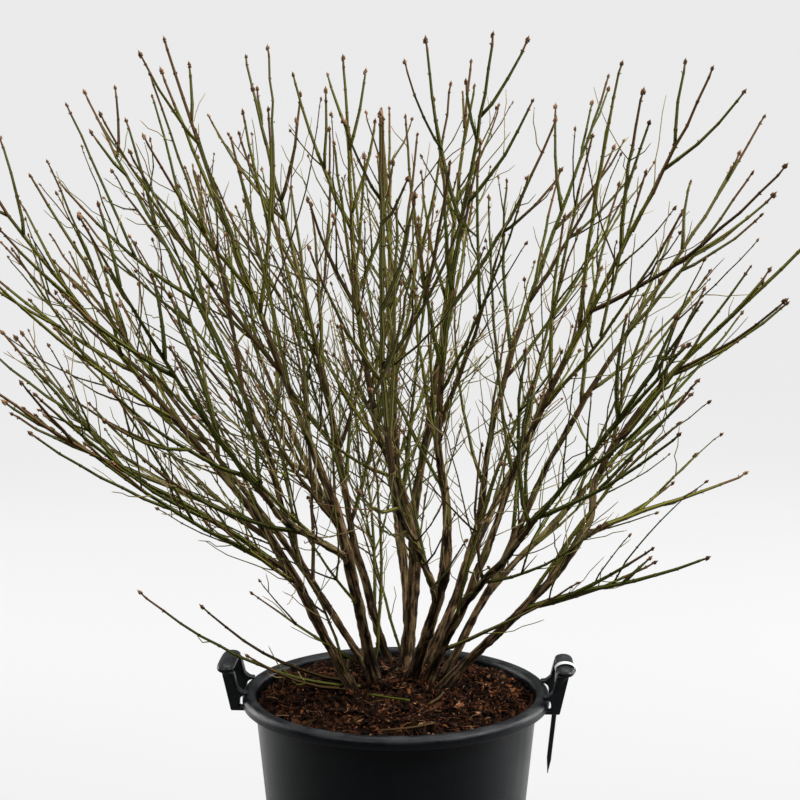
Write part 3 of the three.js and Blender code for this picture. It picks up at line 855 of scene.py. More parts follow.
def plane_noise(x: Array, y: Array, pitch: float, seed: int) -> Array:
    """Noise on a plane, with cells of a pitch in millimetres."""
    size = 64
    return lattice_noise(x / pitch + size / 2, y / pitch + size / 2, size, size, seed)


def ovoid(sides: int, rings: int) -> Arrays:
    """A pointed egg along +Z from its foot at the origin: radius (1 - z) sin(pi sqrt z) at height z.

    Args:
        sides: corners of a ring.
        rings: rings between foot and tip.

    Returns:
        Its corners and its three-sided faces.
    """
    height = (np.arange(rings) + 0.5) / rings
    radius = np.sin(np.pi * np.sqrt(height)) * (1.25 - height) * 0.55
    body = lifted(round_section(sides) * radius[:, None, None], height[:, None])
    points = np.concatenate([[[0, 0, 0]], body.reshape(-1, 3), [[0, 0, 1]]])
    index = 1 + np.arange(rings * sides).reshape(rings, sides)
    turned, quads = np.roll(index, -1, axis=1), ring_quads(index)
    foot = np.stack([np.zeros(sides, int), turned[0], index[0]], axis=-1)
    tip = np.stack([index[-1], turned[-1], np.full(sides, len(points) - 1)], axis=-1)
    return points, np.concatenate([foot, quads[:, :3], quads[:, [0, 2, 3]], tip])


def axes_along(ways: Array, sides: Array, width: Array, length: Array) -> Array:
    """Axes for copies of a shape that points along +Z: two of the width across it, one of the length along it.

    Args:
        ways: (n, 3) unit ways of the copies.
        sides: (n, 3) a vector for each that isn't along its way.
        width: (n,) half widths.
        length: (n,) lengths.

    Returns:
        (n, 3, 3) axes.
    """
    x = unit(sides - ways * (sides * ways).sum(-1, keepdims=True))
    y = np.cross(ways, x)
    return np.stack([x * width[:, None], y * width[:, None], ways * length[:, None]], axis=1)


# Finishes

Colour = Triple
Socket = bpy.types.NodeSocket
Given = bpy.types.NodeOutputs
Node = bpy.types.Node
Value = Socket | float | tuple[float, ...]


@dataclass
class Nodes:
    """Adds nodes to a shader tree, with each input linked or set in the same call."""

    tree: bpy.types.NodeTree

    def add(self, kind: str, inputs: dict[int | str, Value] | None = None, **settings: object) -> Node:
        """A new node.

        Args:
            kind: its type's name after ShaderNode.
            inputs: for each input, by name or number, a socket to link or a value to set.
            settings: its own settings.

        Returns:
            The node.
        """
        node = self.tree.nodes.new(f"ShaderNode{kind}")
        for name, value in settings.items():
            setattr(node, name, value)
        self.feed(node, inputs or {})
        return node

    def feed(self, node: Node, inputs: dict[int | str, Value]) -> None:
        """Links or sets a node's inputs, each by name or number."""
        for key, value in inputs.items():
            if isinstance(value, Socket):
                self.tree.links.new(value, node.inputs[key])
            else:
                node.inputs[key].default_value = value

    def math(self, operation: str, a: Value, b: Value = 0.0) -> Socket:
        """One sum on two values."""
        return self.add("Math", {0: a, 1: b}, operation=operation).outputs[0]

    def spread(self, value: Value, low: Value, high: Value) -> Socket:
        """A value stretched so that low becomes 0 and high becomes 1, with smooth ends."""
        ins = {"Value": value, "From Min": low, "From Max": high}
        return self.add("MapRange", ins, interpolation_type="SMOOTHSTEP").outputs["Result"]

    def noise(self, place: Value, scale: Value, detail: float) -> Socket:
        """Smooth noise from 0 to 1."""
        return self.add("TexNoise", {"Vector": place, "Scale": scale, "Detail": detail}).outputs["Fac"]

    def mix(self, share: Value, first: Value, second: Value) -> Socket:
        """Two colours mixed."""
        return self.add("Mix", {0: share, 6: first, 7: second}, data_type="RGBA").outputs[2]


def _grain(nodes: Nodes, given: Given) -> Socket:
    """Fine grain: two noises summed as a height."""
    finer = nodes.noise(given["Vector"], nodes.math("MULTIPLY", given["Scale"], 3.1), 1.0)
    coarse = nodes.noise(given["Vector"], given["Scale"], 2.0)
    return nodes.math("ADD", coarse, nodes.math("MULTIPLY", finer, 0.5))


def _mottle(nodes: Nodes, given: Given) -> Socket:
    """Mottle: two colours mixed by a stretched noise."""
    mask = nodes.spread(nodes.noise(given["Vector"], given["Scale"], 4.0), given["Low"], given["High"])
    return nodes.mix(mask, given["First"], given["Second"])


def _dust_and_sheen(nodes: Nodes, given: Given) -> Socket:
    """Settled dust and painted sheen: a patchy mask, thick on faces that look up."""
    facing = nodes.add("SeparateXYZ", {0: nodes.add("NewGeometry").outputs["Normal"]})
    upward = nodes.spread(facing.outputs["Z"], -0.2, 1.0)
    patches = nodes.spread(nodes.noise(given["Vector"], given["Scale"], 6.0), 0.4, 0.75)
    return nodes.math("MULTIPLY", upward, patches)


def _scuffs(nodes: Nodes, given: Given) -> Socket:
    """Scuffs: thin marks where a stretched noise crosses its middle, kept to patches."""
    turned = nodes.add("Mapping", {"Vector": given["Vector"], "Scale": (1.0, 1.0, 5.0), "Rotation": (0.3, 0.2, 0.0)})
    marks = nodes.noise(turned.outputs[0], given["Scale"], 3.0)
    line = nodes.spread(nodes.math("ABSOLUTE", nodes.math("SUBTRACT", marks, 0.5)), 0.012, 0.0)
    return nodes.math("MULTIPLY", line, nodes.spread(nodes.noise(given["Vector"], 14.0, 2.0), 0.55, 0.7))


def _streaks(nodes: Nodes, given: Given) -> Socket:
    """Water streaks: a noise drawn out long and upright."""
    drawn = nodes.add("Mapping", {"Vector": given["Vector"], "Scale": (1.0, 1.0, 0.06)})
    return nodes.spread(nodes.noise(drawn.outputs[0], given["Scale"], 3.0), 0.45, 0.7)


KINDS = {"Vector": "Vector", "First": "Color", "Second": "Color", "Color": "Color"}  # other sockets are floats


class Effect(Enum):
    """Shader node groups that several finishes share: name, inputs beside the place, output and builder."""

    GRAIN = ("fine_grain", ["Scale"], "Height", _grain)
    MOTTLE = ("mottle", ["Scale", "Low", "High", "First", "Second"], "Color", _mottle)
    DUST = ("settled_dust", ["Scale"], "Mask", _dust_and_sheen)
    SCUFFS = ("scuffs", ["Scale"], "Mask", _scuffs)
    STREAKS = ("water_streaks", ["Scale"], "Mask", _streaks)

    def tree(self) -> bpy.types.NodeTree:
        """The group, built at its first use."""
        name, ins, out, build = self.value
        known = bpy.data.node_groups.get(name)
        if known is not None:
            return known
        tree = bpy.data.node_groups.new(name, "ShaderNodeTree")
        for socket, end in [(each, "INPUT") for each in ("Vector", *ins)] + [(out, "OUTPUT")]:
            kind = "NodeSocket" + KINDS.get(socket, "Float")
            tree.interface.new_socket(socket, in_out=end, socket_type=kind)
        made = build(Nodes(tree), tree.nodes.new("NodeGroupInput").outputs)
        tree.links.new(made, tree.nodes.new("NodeGroupOutput").inputs[out])
        return tree


@dataclass(frozen=True)
class Finish:
    """A plain finish: one base colour, with fine grain in its bump."""

    name: str
    colour: Colour
    roughness: float = 0.7
    grain: float = 900.0
    bump: float = 0.25
    shine: float = 0.2
    depth: float = 0.0004

    def material(self) -> bpy.types.Material:
        """The material, made at its first use."""
        known = bpy.data.materials.get(self.name)
        if known is not None:
            return known
        made = bpy.data.materials.new(self.name)
        made.use_nodes = True
        nodes = Nodes(made.node_tree)
        shader = nodes.tree.nodes["Principled BSDF"]
        grain = self.effect(nodes, Effect.GRAIN, Scale=self.grain)
        bump = nodes.add("Bump", {"Height": grain, "Strength": self.bump, "Distance": self.depth})
        nodes.feed(shader, {"Base Color": self.shaded(self.colour), "Roughness": self.roughness,
                            "Specular IOR Level": self.shine, "Normal": bump.outputs["Normal"]})
        self.dress(nodes, shader)
        return made

    def dress(self, nodes: Nodes, shader: Node) -> None:
        """Adds what a finish has over its plain colour and its grain."""

    @staticmethod
    def effect(nodes: Nodes, kind: Effect, **values: Value) -> Socket:
        """A shared group's output, on Object coordinates and with its own values."""
        place = nodes.tree.nodes.get("Texture Coordinate") or nodes.add("TexCoord")
        return nodes.add("Group", {"Vector": place.outputs["Object"], **values}, node_tree=kind.tree()).outputs[0]

    def mottled(self, nodes: Nodes, scale: float, low: float, high: float, *colours: tuple[float, ...]) -> Socket:
        """Two colours mixed by the shared mottle."""
        first, second = (self.shaded(colour[:3]) for colour in colours)
        return self.effect(nodes, Effect.MOTTLE, Scale=scale, Low=low, High=high, First=first, Second=second)

    @staticmethod
    def shaded(colour: Colour, share: float = 1.0) -> tuple[float, ...]:
        """A colour made lighter or darker by a factor, as a socket takes it."""
        return (*(c * share for c in colour), 1.0)


@dataclass(frozen=True)
class BarkFinish(Finish):
    """Stem bark: near black in its fissures, brown on its slopes, light on its plates, with green patches.

    The mesh carries its relief, from 0 in a fissure to 1 on a plate. The near black of the fissures is partly the
    bark's own colour and partly painted shade in the cracks.
    """

    slope: Colour = (0.075, 0.045, 0.021)
    plate: Colour = (0.225, 0.14, 0.068)
    green: Colour = (0.11, 0.095, 0.032)
    furrow: float = 430.0
    cut: float = 0.0011

    def dress(self, nodes: Nodes, shader: Node) -> None:
        """Mixes the colours by the relief with furrows drawn along the limb, and by patches."""
        place = nodes.add("Attribute", attribute_name="grain").outputs["Vector"]
        furrows = nodes.math("SUBTRACT", nodes.noise(place, self.furrow, 3.0), 0.5)
        coarse = nodes.add("Attribute", attribute_name="relief").outputs["Fac"]
        part = nodes.math("ADD", nodes.math("MULTIPLY", coarse, 0.6), 0.2)
        relief = nodes.math("ADD", part, nodes.math("MULTIPLY", furrows, 2.1))
        before = shader.inputs["Normal"].links[0].from_socket
        cuts = nodes.add("Bump", {"Height": relief, "Strength": 0.8, "Distance": self.cut, "Normal": before})
        plates = self.mottled(nodes, 34.0, 0.42, 0.66, self.plate, self.green)
        slopes = self.mottled(nodes, 420.0, 0.35, 0.7, self.slope, self.shaded(self.slope, 1.9))
        # fissures, where relief is low, take the near-black colour: bark colour plus painted shade in the cracks
        low = nodes.mix(nodes.spread(relief, 0.1, 0.55), self.shaded(self.colour), slopes)
        colour = nodes.mix(nodes.spread(relief, 0.5, 0.95), low, plates)
        nodes.feed(shader, {"Normal": cuts.outputs["Normal"], "Base Color": colour})


@dataclass(frozen=True)
class TubFinish(Finish):
    """Moulded tub plastic: satin grain, scuffs, water streaks, and dust with painted sheen on what looks up."""

    # pale dust colour, which also paints a sheen on faces that look up, such as the rim's top
    dust: Colour = (0.07, 0.072, 0.074)
    worn: Colour = (0.01, 0.012, 0.014)

    def dress(self, nodes: Nodes, shader: Node) -> None:
        """Lays wear and dust with painted sheen over the plastic; the wear and dust also roughen it."""
        base = self.mottled(nodes, 18.0, 0.3, 0.75, self.colour, self.shaded(self.colour, 1.35))
        scuffs = self.effect(nodes, Effect.SCUFFS, Scale=70.0)
        streaks = self.effect(nodes, Effect.STREAKS, Scale=55.0)
        dust = self.effect(nodes, Effect.DUST, Scale=45.0)
        dull = nodes.mix(nodes.math("MULTIPLY", streaks, 0.12), base, self.shaded(self.worn))
        marked = nodes.mix(nodes.math("MULTIPLY", scuffs, 0.6), dull, self.shaded(self.worn))
        # painted sheen with the dust: the pale colour lightens faces that look up
        dusted_and_sheened = nodes.mix(nodes.math("MULTIPLY", dust, 0.3), marked, self.shaded(self.dust))
        rough = nodes.math("ADD", nodes.math("MULTIPLY", dust, 0.3), self.roughness)
        streaked = nodes.math("ADD", rough, nodes.math("MULTIPLY", streaks, 0.08))
        nodes.feed(shader, {"Base Color": dusted_and_sheened, "Roughness": streaked})


@dataclass(frozen=True)
class SoilFinish(Finish):
    """Loose bark between the chips: near black, mottled by noise with red-brown crumbs."""

    crumb: Colour = (0.05, 0.02, 0.011)

    def dress(self, nodes: Nodes, shader: Node) -> None:
        """Mixes crumbs into the dark by noise."""
        nodes.feed(shader, {"Base Color": self.mottled(nodes, 150.0, 0.42, 0.62, self.colour, self.crumb)})


@dataclass(frozen=True)
class BackdropFinish(Finish):
    """The pale cove. To the camera it looks nearly even, and the plant gets less light back from its front part."""

    seen: float = 0.915
    evenness: Pair = (0.66, 0.88)  # by the tub and further out
    near: Pair = (0.15, 0.6)
    front: float = 0.04
    turn: Pair = (-1.2, 1.4)

    def dress(self, nodes: Nodes, shader: Node) -> None:
        """Darkens the front by the place along Y, and mixes even light into what the camera sees."""
        place = nodes.add("TexCoord").outputs["Object"]
        behind = nodes.spread(nodes.add("SeparateXYZ", {0: place}).outputs[1], *self.turn)
        pale = nodes.mix(behind, self.shaded(self.colour, self.front), self.shaded(self.colour))
        nodes.feed(shader, {"Base Color": pale})
        even = nodes.add("Emission", {"Color": self.shaded((1.0, 1.0, 1.0)), "Strength": self.seen})
        away = nodes.spread(nodes.add("VectorMath", {0: place}, operation="LENGTH").outputs["Value"], *self.near)
        least, most = self.evenness
        evened = nodes.math("ADD", nodes.math("MULTIPLY", away, most - least), least)
        share = nodes.math("MULTIPLY", nodes.add("LightPath").outputs["Is Camera Ray"], evened)
        both = nodes.add("MixShader", {0: share, 1: shader.outputs[0], 2: even.outputs[0]})
        nodes.feed(nodes.tree.nodes["Material Output"], {"Surface": both.outputs[0]})


class Tone(IntEnum):
    """The plain colours of the young wood, dealt out by spray and by part of a shoot."""

    OLD_BARK = 0
    RIDGE = 1
    OLIVE = 2
    DEEP_GREEN = 3
    GREY_GREEN = 4
    RED_BROWN = 5
    PALE = 6
    BUD = 7
    BUD_PINK = 8


YOUNG_WOOD = [
    Finish("old_bark", (0.06, 0.037, 0.014), 0.85, shine=0.07),
    Finish("corky_ridge", (0.032, 0.018, 0.006), 0.85, shine=0.05),
    Finish("olive_bark", (0.125, 0.126, 0.016), 0.65, shine=0.08),
    Finish("deep_green_bark", (0.068, 0.085, 0.009), 0.65, shine=0.08),
    Finish("grey_green_bark", (0.125, 0.12, 0.03), 0.7, shine=0.08),
    Finish("red_brown_bark", (0.105, 0.056, 0.02), 0.75, shine=0.08),
    Finish("pale_twig_bark", (0.26, 0.2, 0.09), 0.8, shine=0.08),
    Finish("bud_scale", (0.14, 0.075, 0.034), 0.75, shine=0.1),
    Finish("pink_bud_scale", (0.27, 0.15, 0.078), 0.75, shine=0.1),
]


# The plant's pieces


@dataclass
class BarkedLimbs:
    """Stems and boughs with bark relief, each in place of its own solid."""

    bush: Bush
    sectors: int = 40
    step: float = 2.2
    plate_width: float = 3.6
    plate_length: float = 24.0
    fissure: float = 1.5
    lump: float = 0.06
    # how high above the ground the soil stain and painted shade of the foot reach
    stain: float = 55.0
    twist: float = 0.0009
    drawn: float = 0.1
    # the first colour of each bark finish, near black, is the fissures': bark colour plus painted shade in the cracks
    finish: Finish = BarkFinish("plated_stem_bark", (0.011, 0.0065, 0.003), 0.9, 700.0, 0.6, 0.1, 0.0005)
    upper_finish: Finish = BarkFinish("bough_bark", (0.009, 0.006, 0.0028), 0.88, 700.0, 0.5, 0.1, 0.0005,
                                      slope=(0.065, 0.043, 0.017), plate=(0.19, 0.14, 0.062), green=(0.1, 0.1, 0.024))

    def build(self) -> None:
        """Makes a piece for each stem and bough, and one for the stool."""
        both = [self.finish, self.upper_finish]
        for number, stem in enumerate(self.bush.stems, 1):
            surface = self._limb(stem, 100 + number)
            surface.piece(f"stem_bark_{number:02d}", both, [f"stem_{number:02d}"], "stem_bark")
        for number, (name, bough) in enumerate(self.bush.boughs.items(), 1):
            self._limb(bough, 200 + number, 0.75).piece(f"bough_bark_{name}", both, [f"bough_{name}"], "stem_bark")
        self._stool().piece("stool_bark", [self.finish], ["stool"], "stem_bark")

    def _limb(self, limb: Limb, seed: int, age: float = 0.0) -> Surface:
        """One limb: rings round its curves, raised by lumps, knots and long bark plates.

        radius = r(s) (1 + lumps + knots) + fissure (relief - 0.6). The relief is a smooth step of a noise on long
        narrow cells with a finer one on it, and it sinks in knots and near the ground; near the ground the lower
        relief is soil stain and painted shade at the foot. The finish's grain lies on a cylinder as thick as the limb,
        squeezed along it, so it is drawn out lengthwise.

        Args:
            limb: the limb.
            seed: for its relief.
            age: how much sooner along it the greener bark starts, from 0 to 1.

        Returns:
            Its surface.
        """
        steps = max(8, int(norm(np.diff(limb.points, axis=0)).sum() / self.step))
        at = np.linspace(0, 1, steps + 1)
        curve = np.minimum((at * len(limb.curves)).astype(int), len(limb.curves) - 1)
        line = bezier(limb.curves[curve], (at * len(limb.curves) - curve)[:, None])[:, 0]
        radius = np.interp(at, np.linspace(0, 1, len(limb.radii)), limb.radii)
        along = run(line)
        t, s = np.meshgrid(np.arange(self.sectors) / self.sectors, along)
        cells = max(6, round(2 * math.pi * limb.radii.mean() / self.plate_width))
        knots = self._knots(t, s, np.random.default_rng(seed))
        twist = t + s * self.twist
        plates = wrapped_noise(twist, s, cells, self.plate_length, seed)
        plates += 0.6 * wrapped_noise(twist, s, cells * 2 - 3, self.plate_length / 3, seed + 1)
        # bark sinks darker near the ground: soil stain and painted shade at the foot
        low = 0.8 * np.exp(-np.maximum(line[:, 2:] - self.bush.ground, 0) / self.stain)
        relief = np.clip(smoothstep(plates, -0.4, 0.5) - 2.2 * knots - low, 0, 1)
        grain = lifted(polar(limb.radii.mean(), 2 * np.pi * twist), s * self.drawn + seed * 40.0)
        lumps = self.lump * wrapped_noise(t, s, 3, 24.0, seed + 2) + knots
        line = line + self._wander(line, along, seed)
        thick = np.clip(radius[:, None] / 6, 0.4, 1)
        size = radius[:, None] * (1 + lumps) + self.fissure * (relief - 0.6) * thick
        section = round_section(self.sectors) * size[None, ..., None]
        green = (at[:-1, None] + 0.35 * wrapped_noise(t, s, 4, 30.0, seed + 3)[:-1] > 0.62 - age * 0.5)
        rings = tube_rings(line[None], np.ones((1, len(line))), section)
        return Surface().add_rings(rings, green[None].astype(int), relief[None], grain=grain.reshape(-1, 3))

    @staticmethod
    def _knots(turn: Array, along: Array, rng: Rng) -> Array:
        """Swellings where old side shoots stood: bells along the limb, higher on one side."""
        end = np.max(along)
        chosen = rng.choice(np.arange(22, end - 8) if end > 60 else np.array([20.0]), max(2, int(end / 34)))
        height = np.zeros_like(turn)
        for place, side in zip(chosen, rng.random(len(chosen))):
            facing = 0.6 + 0.6 * np.cos(2 * np.pi * (turn - side))
            height += rng.uniform(0.1, 0.26) * np.exp(-(((along - place) / rng.uniform(3.0, 6.5)) ** 2)) * facing
        return height

    @staticmethod
    def _wander(line: Array, along: Array, seed: int) -> Array:
        """A slight bend to and fro, none at the two ends."""
        rng = np.random.default_rng(seed + 9)
        ends = np.sin(np.pi * (along / along[-1]))[:, None]
        waves = sum(np.sin(along[:, None] / pitch + rng.uniform(0, 6.3, 3)) for pitch in (17.0, 31.0))
        return 0.7 * ends * waves

    def _stool(self) -> Surface:
        """The stool: a dome whose radius swells towards each foot, with bark relief."""
        s = self.bush.sizes
        surface = Surface()
        middle = np.array([*s.stool, self.bush.ground - 7])
        for number, stem in enumerate(self.bush.stems):
            start = stem.points[0] - np.array([0, 0, 4.0])
            end = max(stem.radii[0], s.heel_least) + 1
            third = (start - middle) / 3
            heel = Limb(np.stack([middle, start]), np.array([stem.radii[0] + s.heel + 2, end]),
                        np.stack([middle, middle + third, start - third, start])[None])
            if norm(start - middle) > 25:
                part = self._limb(heel, 300 + number)
                surface.add(part.places[0], part.faces[0], part.tones[0] * 0, part.reliefs[0], part.grains[0])
        t, v = np.meshgrid(np.arange(72) / 72, np.linspace(0.02, 1, 22))
        relief = smoothstep(wrapped_noise(t, v * 60, 36, 9.0, 41) + wrapped_noise(t, v * 60, 60, 4.0, 42), -0.2, 1.2)
        lobes = 1 + 0.16 * wrapped_noise(t, v * 60, 9, 60.0, 43)
        radius = s.stool_radius * lobes * np.sin(v * np.pi / 2) + relief * 1.2
        height = self.bush.ground - 4 + (s.stool_height + 6) * np.cos(v * np.pi / 2) + relief * 1.8
        points = lifted(np.array(s.stool) + polar(radius, 2 * np.pi * t), height)
        # the dome's relief is scaled to 0.6, so the stool's bark stays darker: soil stain and painted shade at the
        # foot
        return surface.add_rings(points[::-1][None], 0, relief[::-1][None] * 0.6)


@dataclass
class Crown:
    """The heads of twigs and all finer twigs, in joined pieces by kind and by side of the plant."""

    bush: Bush
    sides: int = 4
    fullness: tuple[float, ...] = (0.58, 1.0, 1.0, 0.7)  # of the finer twigs by side, from the right anticlockwise
    ridges: Pair = (0.3, 13)  # height over the radius, and half the foot's width in degrees
    reddish_from: Pair = (0.66, 1.04)  # share of a shoot where its tip turns reddish
    node_gap: Triple = (25.0, 21.0, 13.0)  # between the nodes of each order
    basal: Order = Order(46, 0.28, 0.02, 0.97, (16, 40), (220, 460), (3.4, 5.0), 1.6, 0.5, 0.04, 0.08, (0.5, 0.88))
    inner: Order = Order(37, 0.54, 0.08, 0.97, (20, 46), (170, 450), (3.2, 5.0), 1.5, 0.6, 0.02, 0.08, (0.5, 0.94))
    second: Order = Order(27, 0.3, 0.22, 0.85, (24, 52), (70, 270), (1.9, 2.9), 1.2, 0.45, 0.04, 0.1, (0.5, 0.95))
    third: Order = Order(20, 0.35, 0.15, 0.9, (28, 60), (22, 100), (1.1, 1.6), 0.9, 0.3, 0.12, 0.12, (0.45, 0.95))
    low: Order = Order(30, 0.2, 0.3, 0.95, (25, 50), (12, 45), (1.3, 1.7), 1.0, 0.2, 0.4, 0.1, (0.9, 0.97))

    def build(self) -> None:
        """Grows the finer twigs and makes all pieces."""
        heads = self.bush.heads
        side_of = [self._side_of(head.azimuth) for head in heads]
        limbs = [(shoot, n, side_of[n]) for n, head in enumerate(heads) for shoot in head.shoots]
        main = Sprays.of_limbs(*zip(*limbs), 0.85)
        low = Sprays.of_limbs(self.bush.low, [1, 4, 2], [9, 9, 9], 0.7)
        grow = FinerTwigs(self.bush).grow
        stems, limbs = self._bearing_limbs()
        low_down = self._thinned(grow(stems, self.basal, 10), 14)
        shoots = Sprays.joined([main, low_down, self._thinned(grow(limbs, self.inner, 11), 15)])
        second = self._thinned(grow(Sprays.joined([shoots, limbs]), self.second, 12), 16)
        third = grow(Sprays.joined([second, shoots, limbs]), self.third, 13)
        low_twigs = grow(low, self.low, 14)
        log.info("%d shoots, %d side twigs and %d fine twigs", len(shoots), len(second), len(third))
        for side in range(self.sides):
            nodes = [f"twigs_{head.name}" for head, of in zip(heads, side_of) if of == side]
            orders = [sprays.pick(sprays.sector == side) for sprays in (shoots, second, third)]
            self._pieces(orders, side, f"_{side + 1}", nodes, "twig")
        names = [f"low_shoot_{n}" for n in (1, 2, 3)]
        self._pieces([low, low_twigs.pick([]), low_twigs], 9, "_low", names, "shoot_wood")

    def _thinned(self, sprays: Sprays, seed: int) -> Sprays:
        """The sprays without a seeded share of those on each side."""
        kept = np.random.default_rng(seed).random(len(sprays)) < np.take(self.fullness, sprays.sector)
        return sprays.pick(kept)

    def _side_of(self, azimuth: float) -> int:
        """The side of the plant that an azimuth lies in."""
        return int((azimuth % 360) // (360 / self.sides))

    def _pieces(self, orders: list[Sprays], seed: int, end: str, nodes: list[str], slot: str) -> None:
        """Makes the pieces of one side: its shoots, its side twigs, its fine twigs and its buds."""
        makers = (("shoots", self._shoots), ("side_twigs", self._twigs), ("fine_twigs", self._twiglets))
        for (name, maker), sprays in zip(makers, orders):
            if len(sprays):
                maker(sprays, seed).piece(name + end, YOUNG_WOOD, nodes, slot)
        self._buds(*orders, seed).piece("buds" + end, YOUNG_WOOD, nodes, slot)

    def _bearing_limbs(self) -> tuple[Sprays, Sprays]:
        """The stems' lower halves, and their upper halves with the boughs, as parents of shoots."""
        rows = [[(stem.curves[part], stem.radii[4 * part], stem.radii[4 * part + 4], n + 3 * part,
                  self._side_of(plan.heads[0][1]))
                 for n, (stem, plan) in enumerate(zip(self.bush.stems, self.bush.sizes.stems))] for part in (0, 1)]
        for n, (name, bough) in enumerate(self.bush.boughs.items()):
            azimuth = next(head.azimuth for head in self.bush.heads if head.name == name)
            rows[1].append((bough.curves[0], bough.radii[0], bough.radii[-1], n + 5, self._side_of(azimuth)))
        return tuple(Sprays(*(np.array(column) for column in zip(*part))) for part in rows)

    @staticmethod
    def _rings_at(sprays: Sprays, nodes: int, half: float, kink: float, rng: Rng) -> Arrays:
        """Rings at the ends and before, at and after each node, with a small sideways step at each node.

        Args:
            sprays: shoots that all have the same number of nodes.
            nodes: that number.
            half: half the length of a node's swelling.
            kink: size of the steps.
            rng: for the steps.

        Returns:
            (n, 3 nodes + 2) shares and (n, 3 nodes + 2, 3) centres.
        """
        n = len(sprays)
        middle, spread = (np.arange(nodes) + 0.6) / nodes, (half / sprays.lengths)[:, None]
        rings = (middle[:, None] + spread[..., None] * np.array([-1, 0, 1])).reshape(n, -1)
        shares = np.concatenate([np.zeros((n, 1)), rings, np.ones((n, 1))], axis=1)
        line = bezier(sprays.control, shares)
        line[:, 1:-1] += np.repeat(rng.normal(0, kink, (n, nodes, 3)), 3, axis=1)
        return shares, line

    def _by_nodes(self, sprays: Sprays, order: int, most: int) -> list[tuple[int, Sprays]]:
        """Shoots sorted into lots that have the same number of nodes."""
        nodes = np.clip((sprays.lengths / self.node_gap[order]).astype(int), 1, most)
        return [(int(count), sprays.pick(nodes == count)) for count in np.unique(nodes)]

    def _shoots(self, shoots: Sprays, seed: int) -> Surface:
        """Main shoots with four corky ridges, swollen at their nodes, brown at root and tip and green between."""
        surface, rng = Surface(), np.random.default_rng(500 + seed)
        section = ridged_section(*self.ridges)
        for count, part in self._by_nodes(shoots, 0, 18):
            shares, line = self._rings_at(part, count, 2.2, 0.5, rng)
            swell = np.concatenate([[0.0], np.tile([0.0, 0.18, 0.0], count), [-0.2]])
            radius = part.radii(shares) * (0.92 + swell * rng.uniform(0.6, 1.4, shares.shape))
            tones, middle = self._tones(part, shares, np.tile([True, True, False], 4), 0.14, rng)
            old = middle < (part.root[:, None, None] - 2.0) * 0.16 * rng.uniform(0.3, 1.6, (len(part), 1, 1))
            surface.add_rings(tube_rings(line, radius, section), np.where(old, Tone.OLD_BARK, tones))
        return surface

    def _tones(self, part: Sprays, shares: Array, ridge: Array, brown: float, rng: Rng) -> Arrays:
        """Tones of faces: ridges, the spray's green or a brown between them, and a reddish tip.

        Args:
            part: the shoots.
            shares: (n, r) places of their rings.
            ridge: (k,) which of their sides are ridges.
            brown: the share of brown shoots.
            rng: for the tones.

        Returns:
            (n, r - 1, k) tones, and the (n, r - 1, 1) middles of the faces along the shoots.
        """
        one = (len(part), 1, 1)
        greens = np.array([Tone.OLIVE, Tone.DEEP_GREEN, Tone.GREY_GREEN, Tone.DEEP_GREEN, Tone.OLIVE])
        plain = np.where(rng.random(one) < brown, Tone.OLD_BARK, greens[part.tint % len(greens)][:, None, None])
        middle = ((shares[:, 1:] + shares[:, :-1]) / 2)[..., None]
        reddish = middle > rng.uniform(*self.reddish_from, one)
        return np.where(reddish, Tone.RED_BROWN, np.where(ridge, Tone.RIDGE, plain)), middle

    def _twigs(self, twigs: Sprays, seed: int) -> Surface:
        """Second-order twigs: six sides, swollen nodes, two brown sides and a reddish tip."""
        surface, rng = Surface(), np.random.default_rng(600 + seed)
        for count, part in self._by_nodes(twigs, 1, 12):
            shares, line = self._rings_at(part, count, 1.6, 0.55, rng)
            swell = np.concatenate([[0.0], np.tile([0.0, 0.26, 0.0], count), [-0.2]])
            tones, _ = self._tones(part, shares, np.arange(6) % 3 == 0, 0.12, rng)
            surface.add_rings(tube_rings(line, part.radii(shares) * (1 + swell), round_section(6)), tones)
        return surface

    def _twiglets(self, twigs: Sprays, seed: int) -> Surface:
        """Third-order twigs: four sides and a kink at each node, pale, brown or green by spray."""
        surface, rng = Surface(), np.random.default_rng(700 + seed)
        choice = np.array([Tone.PALE, Tone.GREY_GREEN, Tone.RED_BROWN, Tone.OLIVE, Tone.PALE, Tone.GREY_GREEN])
        for count, part in self._by_nodes(twigs, 2, 5):
            shares = np.linspace(0, 1, count + 2)
            line = bezier(part.control, shares)
            line[:, 1:-1] += rng.normal(0, 0.8, (len(part), count, 3))
            tones = choice[(part.tint + rng.integers(0, len(choice), len(part))) % len(choice)]
            surface.add_rings(tube_rings(line, part.radii(shares), round_section(4)), tones[:, None, None])
        return surface

    def _buds(self, shoots: Sprays, second: Sprays, third: Sprays, seed: int) -> Surface:
        """Pairs of buds at the nodes, and clusters at the tips."""
        surface, rng = Surface(), np.random.default_rng(800 + seed)
        for order, (sprays, size, shape) in enumerate(((shoots, 1.0, ovoid(5, 2)), (second, 0.75, ovoid(4, 1)))):
            for count, part in self._by_nodes(sprays, order, (18, 12)[order]) if len(sprays) else []:
                self._side_buds(surface, part, count, size, shape, rng)
            self._tip_buds(surface, sprays, size, rng)
        ends, ways = third.control[:, 3], third.tip_ways()
        size = rng.uniform(0.7, 1.2, len(third))
        tones = rng.choice([Tone.BUD, Tone.BUD_PINK], len(third), p=[0.7, 0.3])
        surface.add_copies(*ovoid(4, 1), ends, axes_along(ways, square_to(ways), size * 1.3, size * 3.0), tones)
        return surface

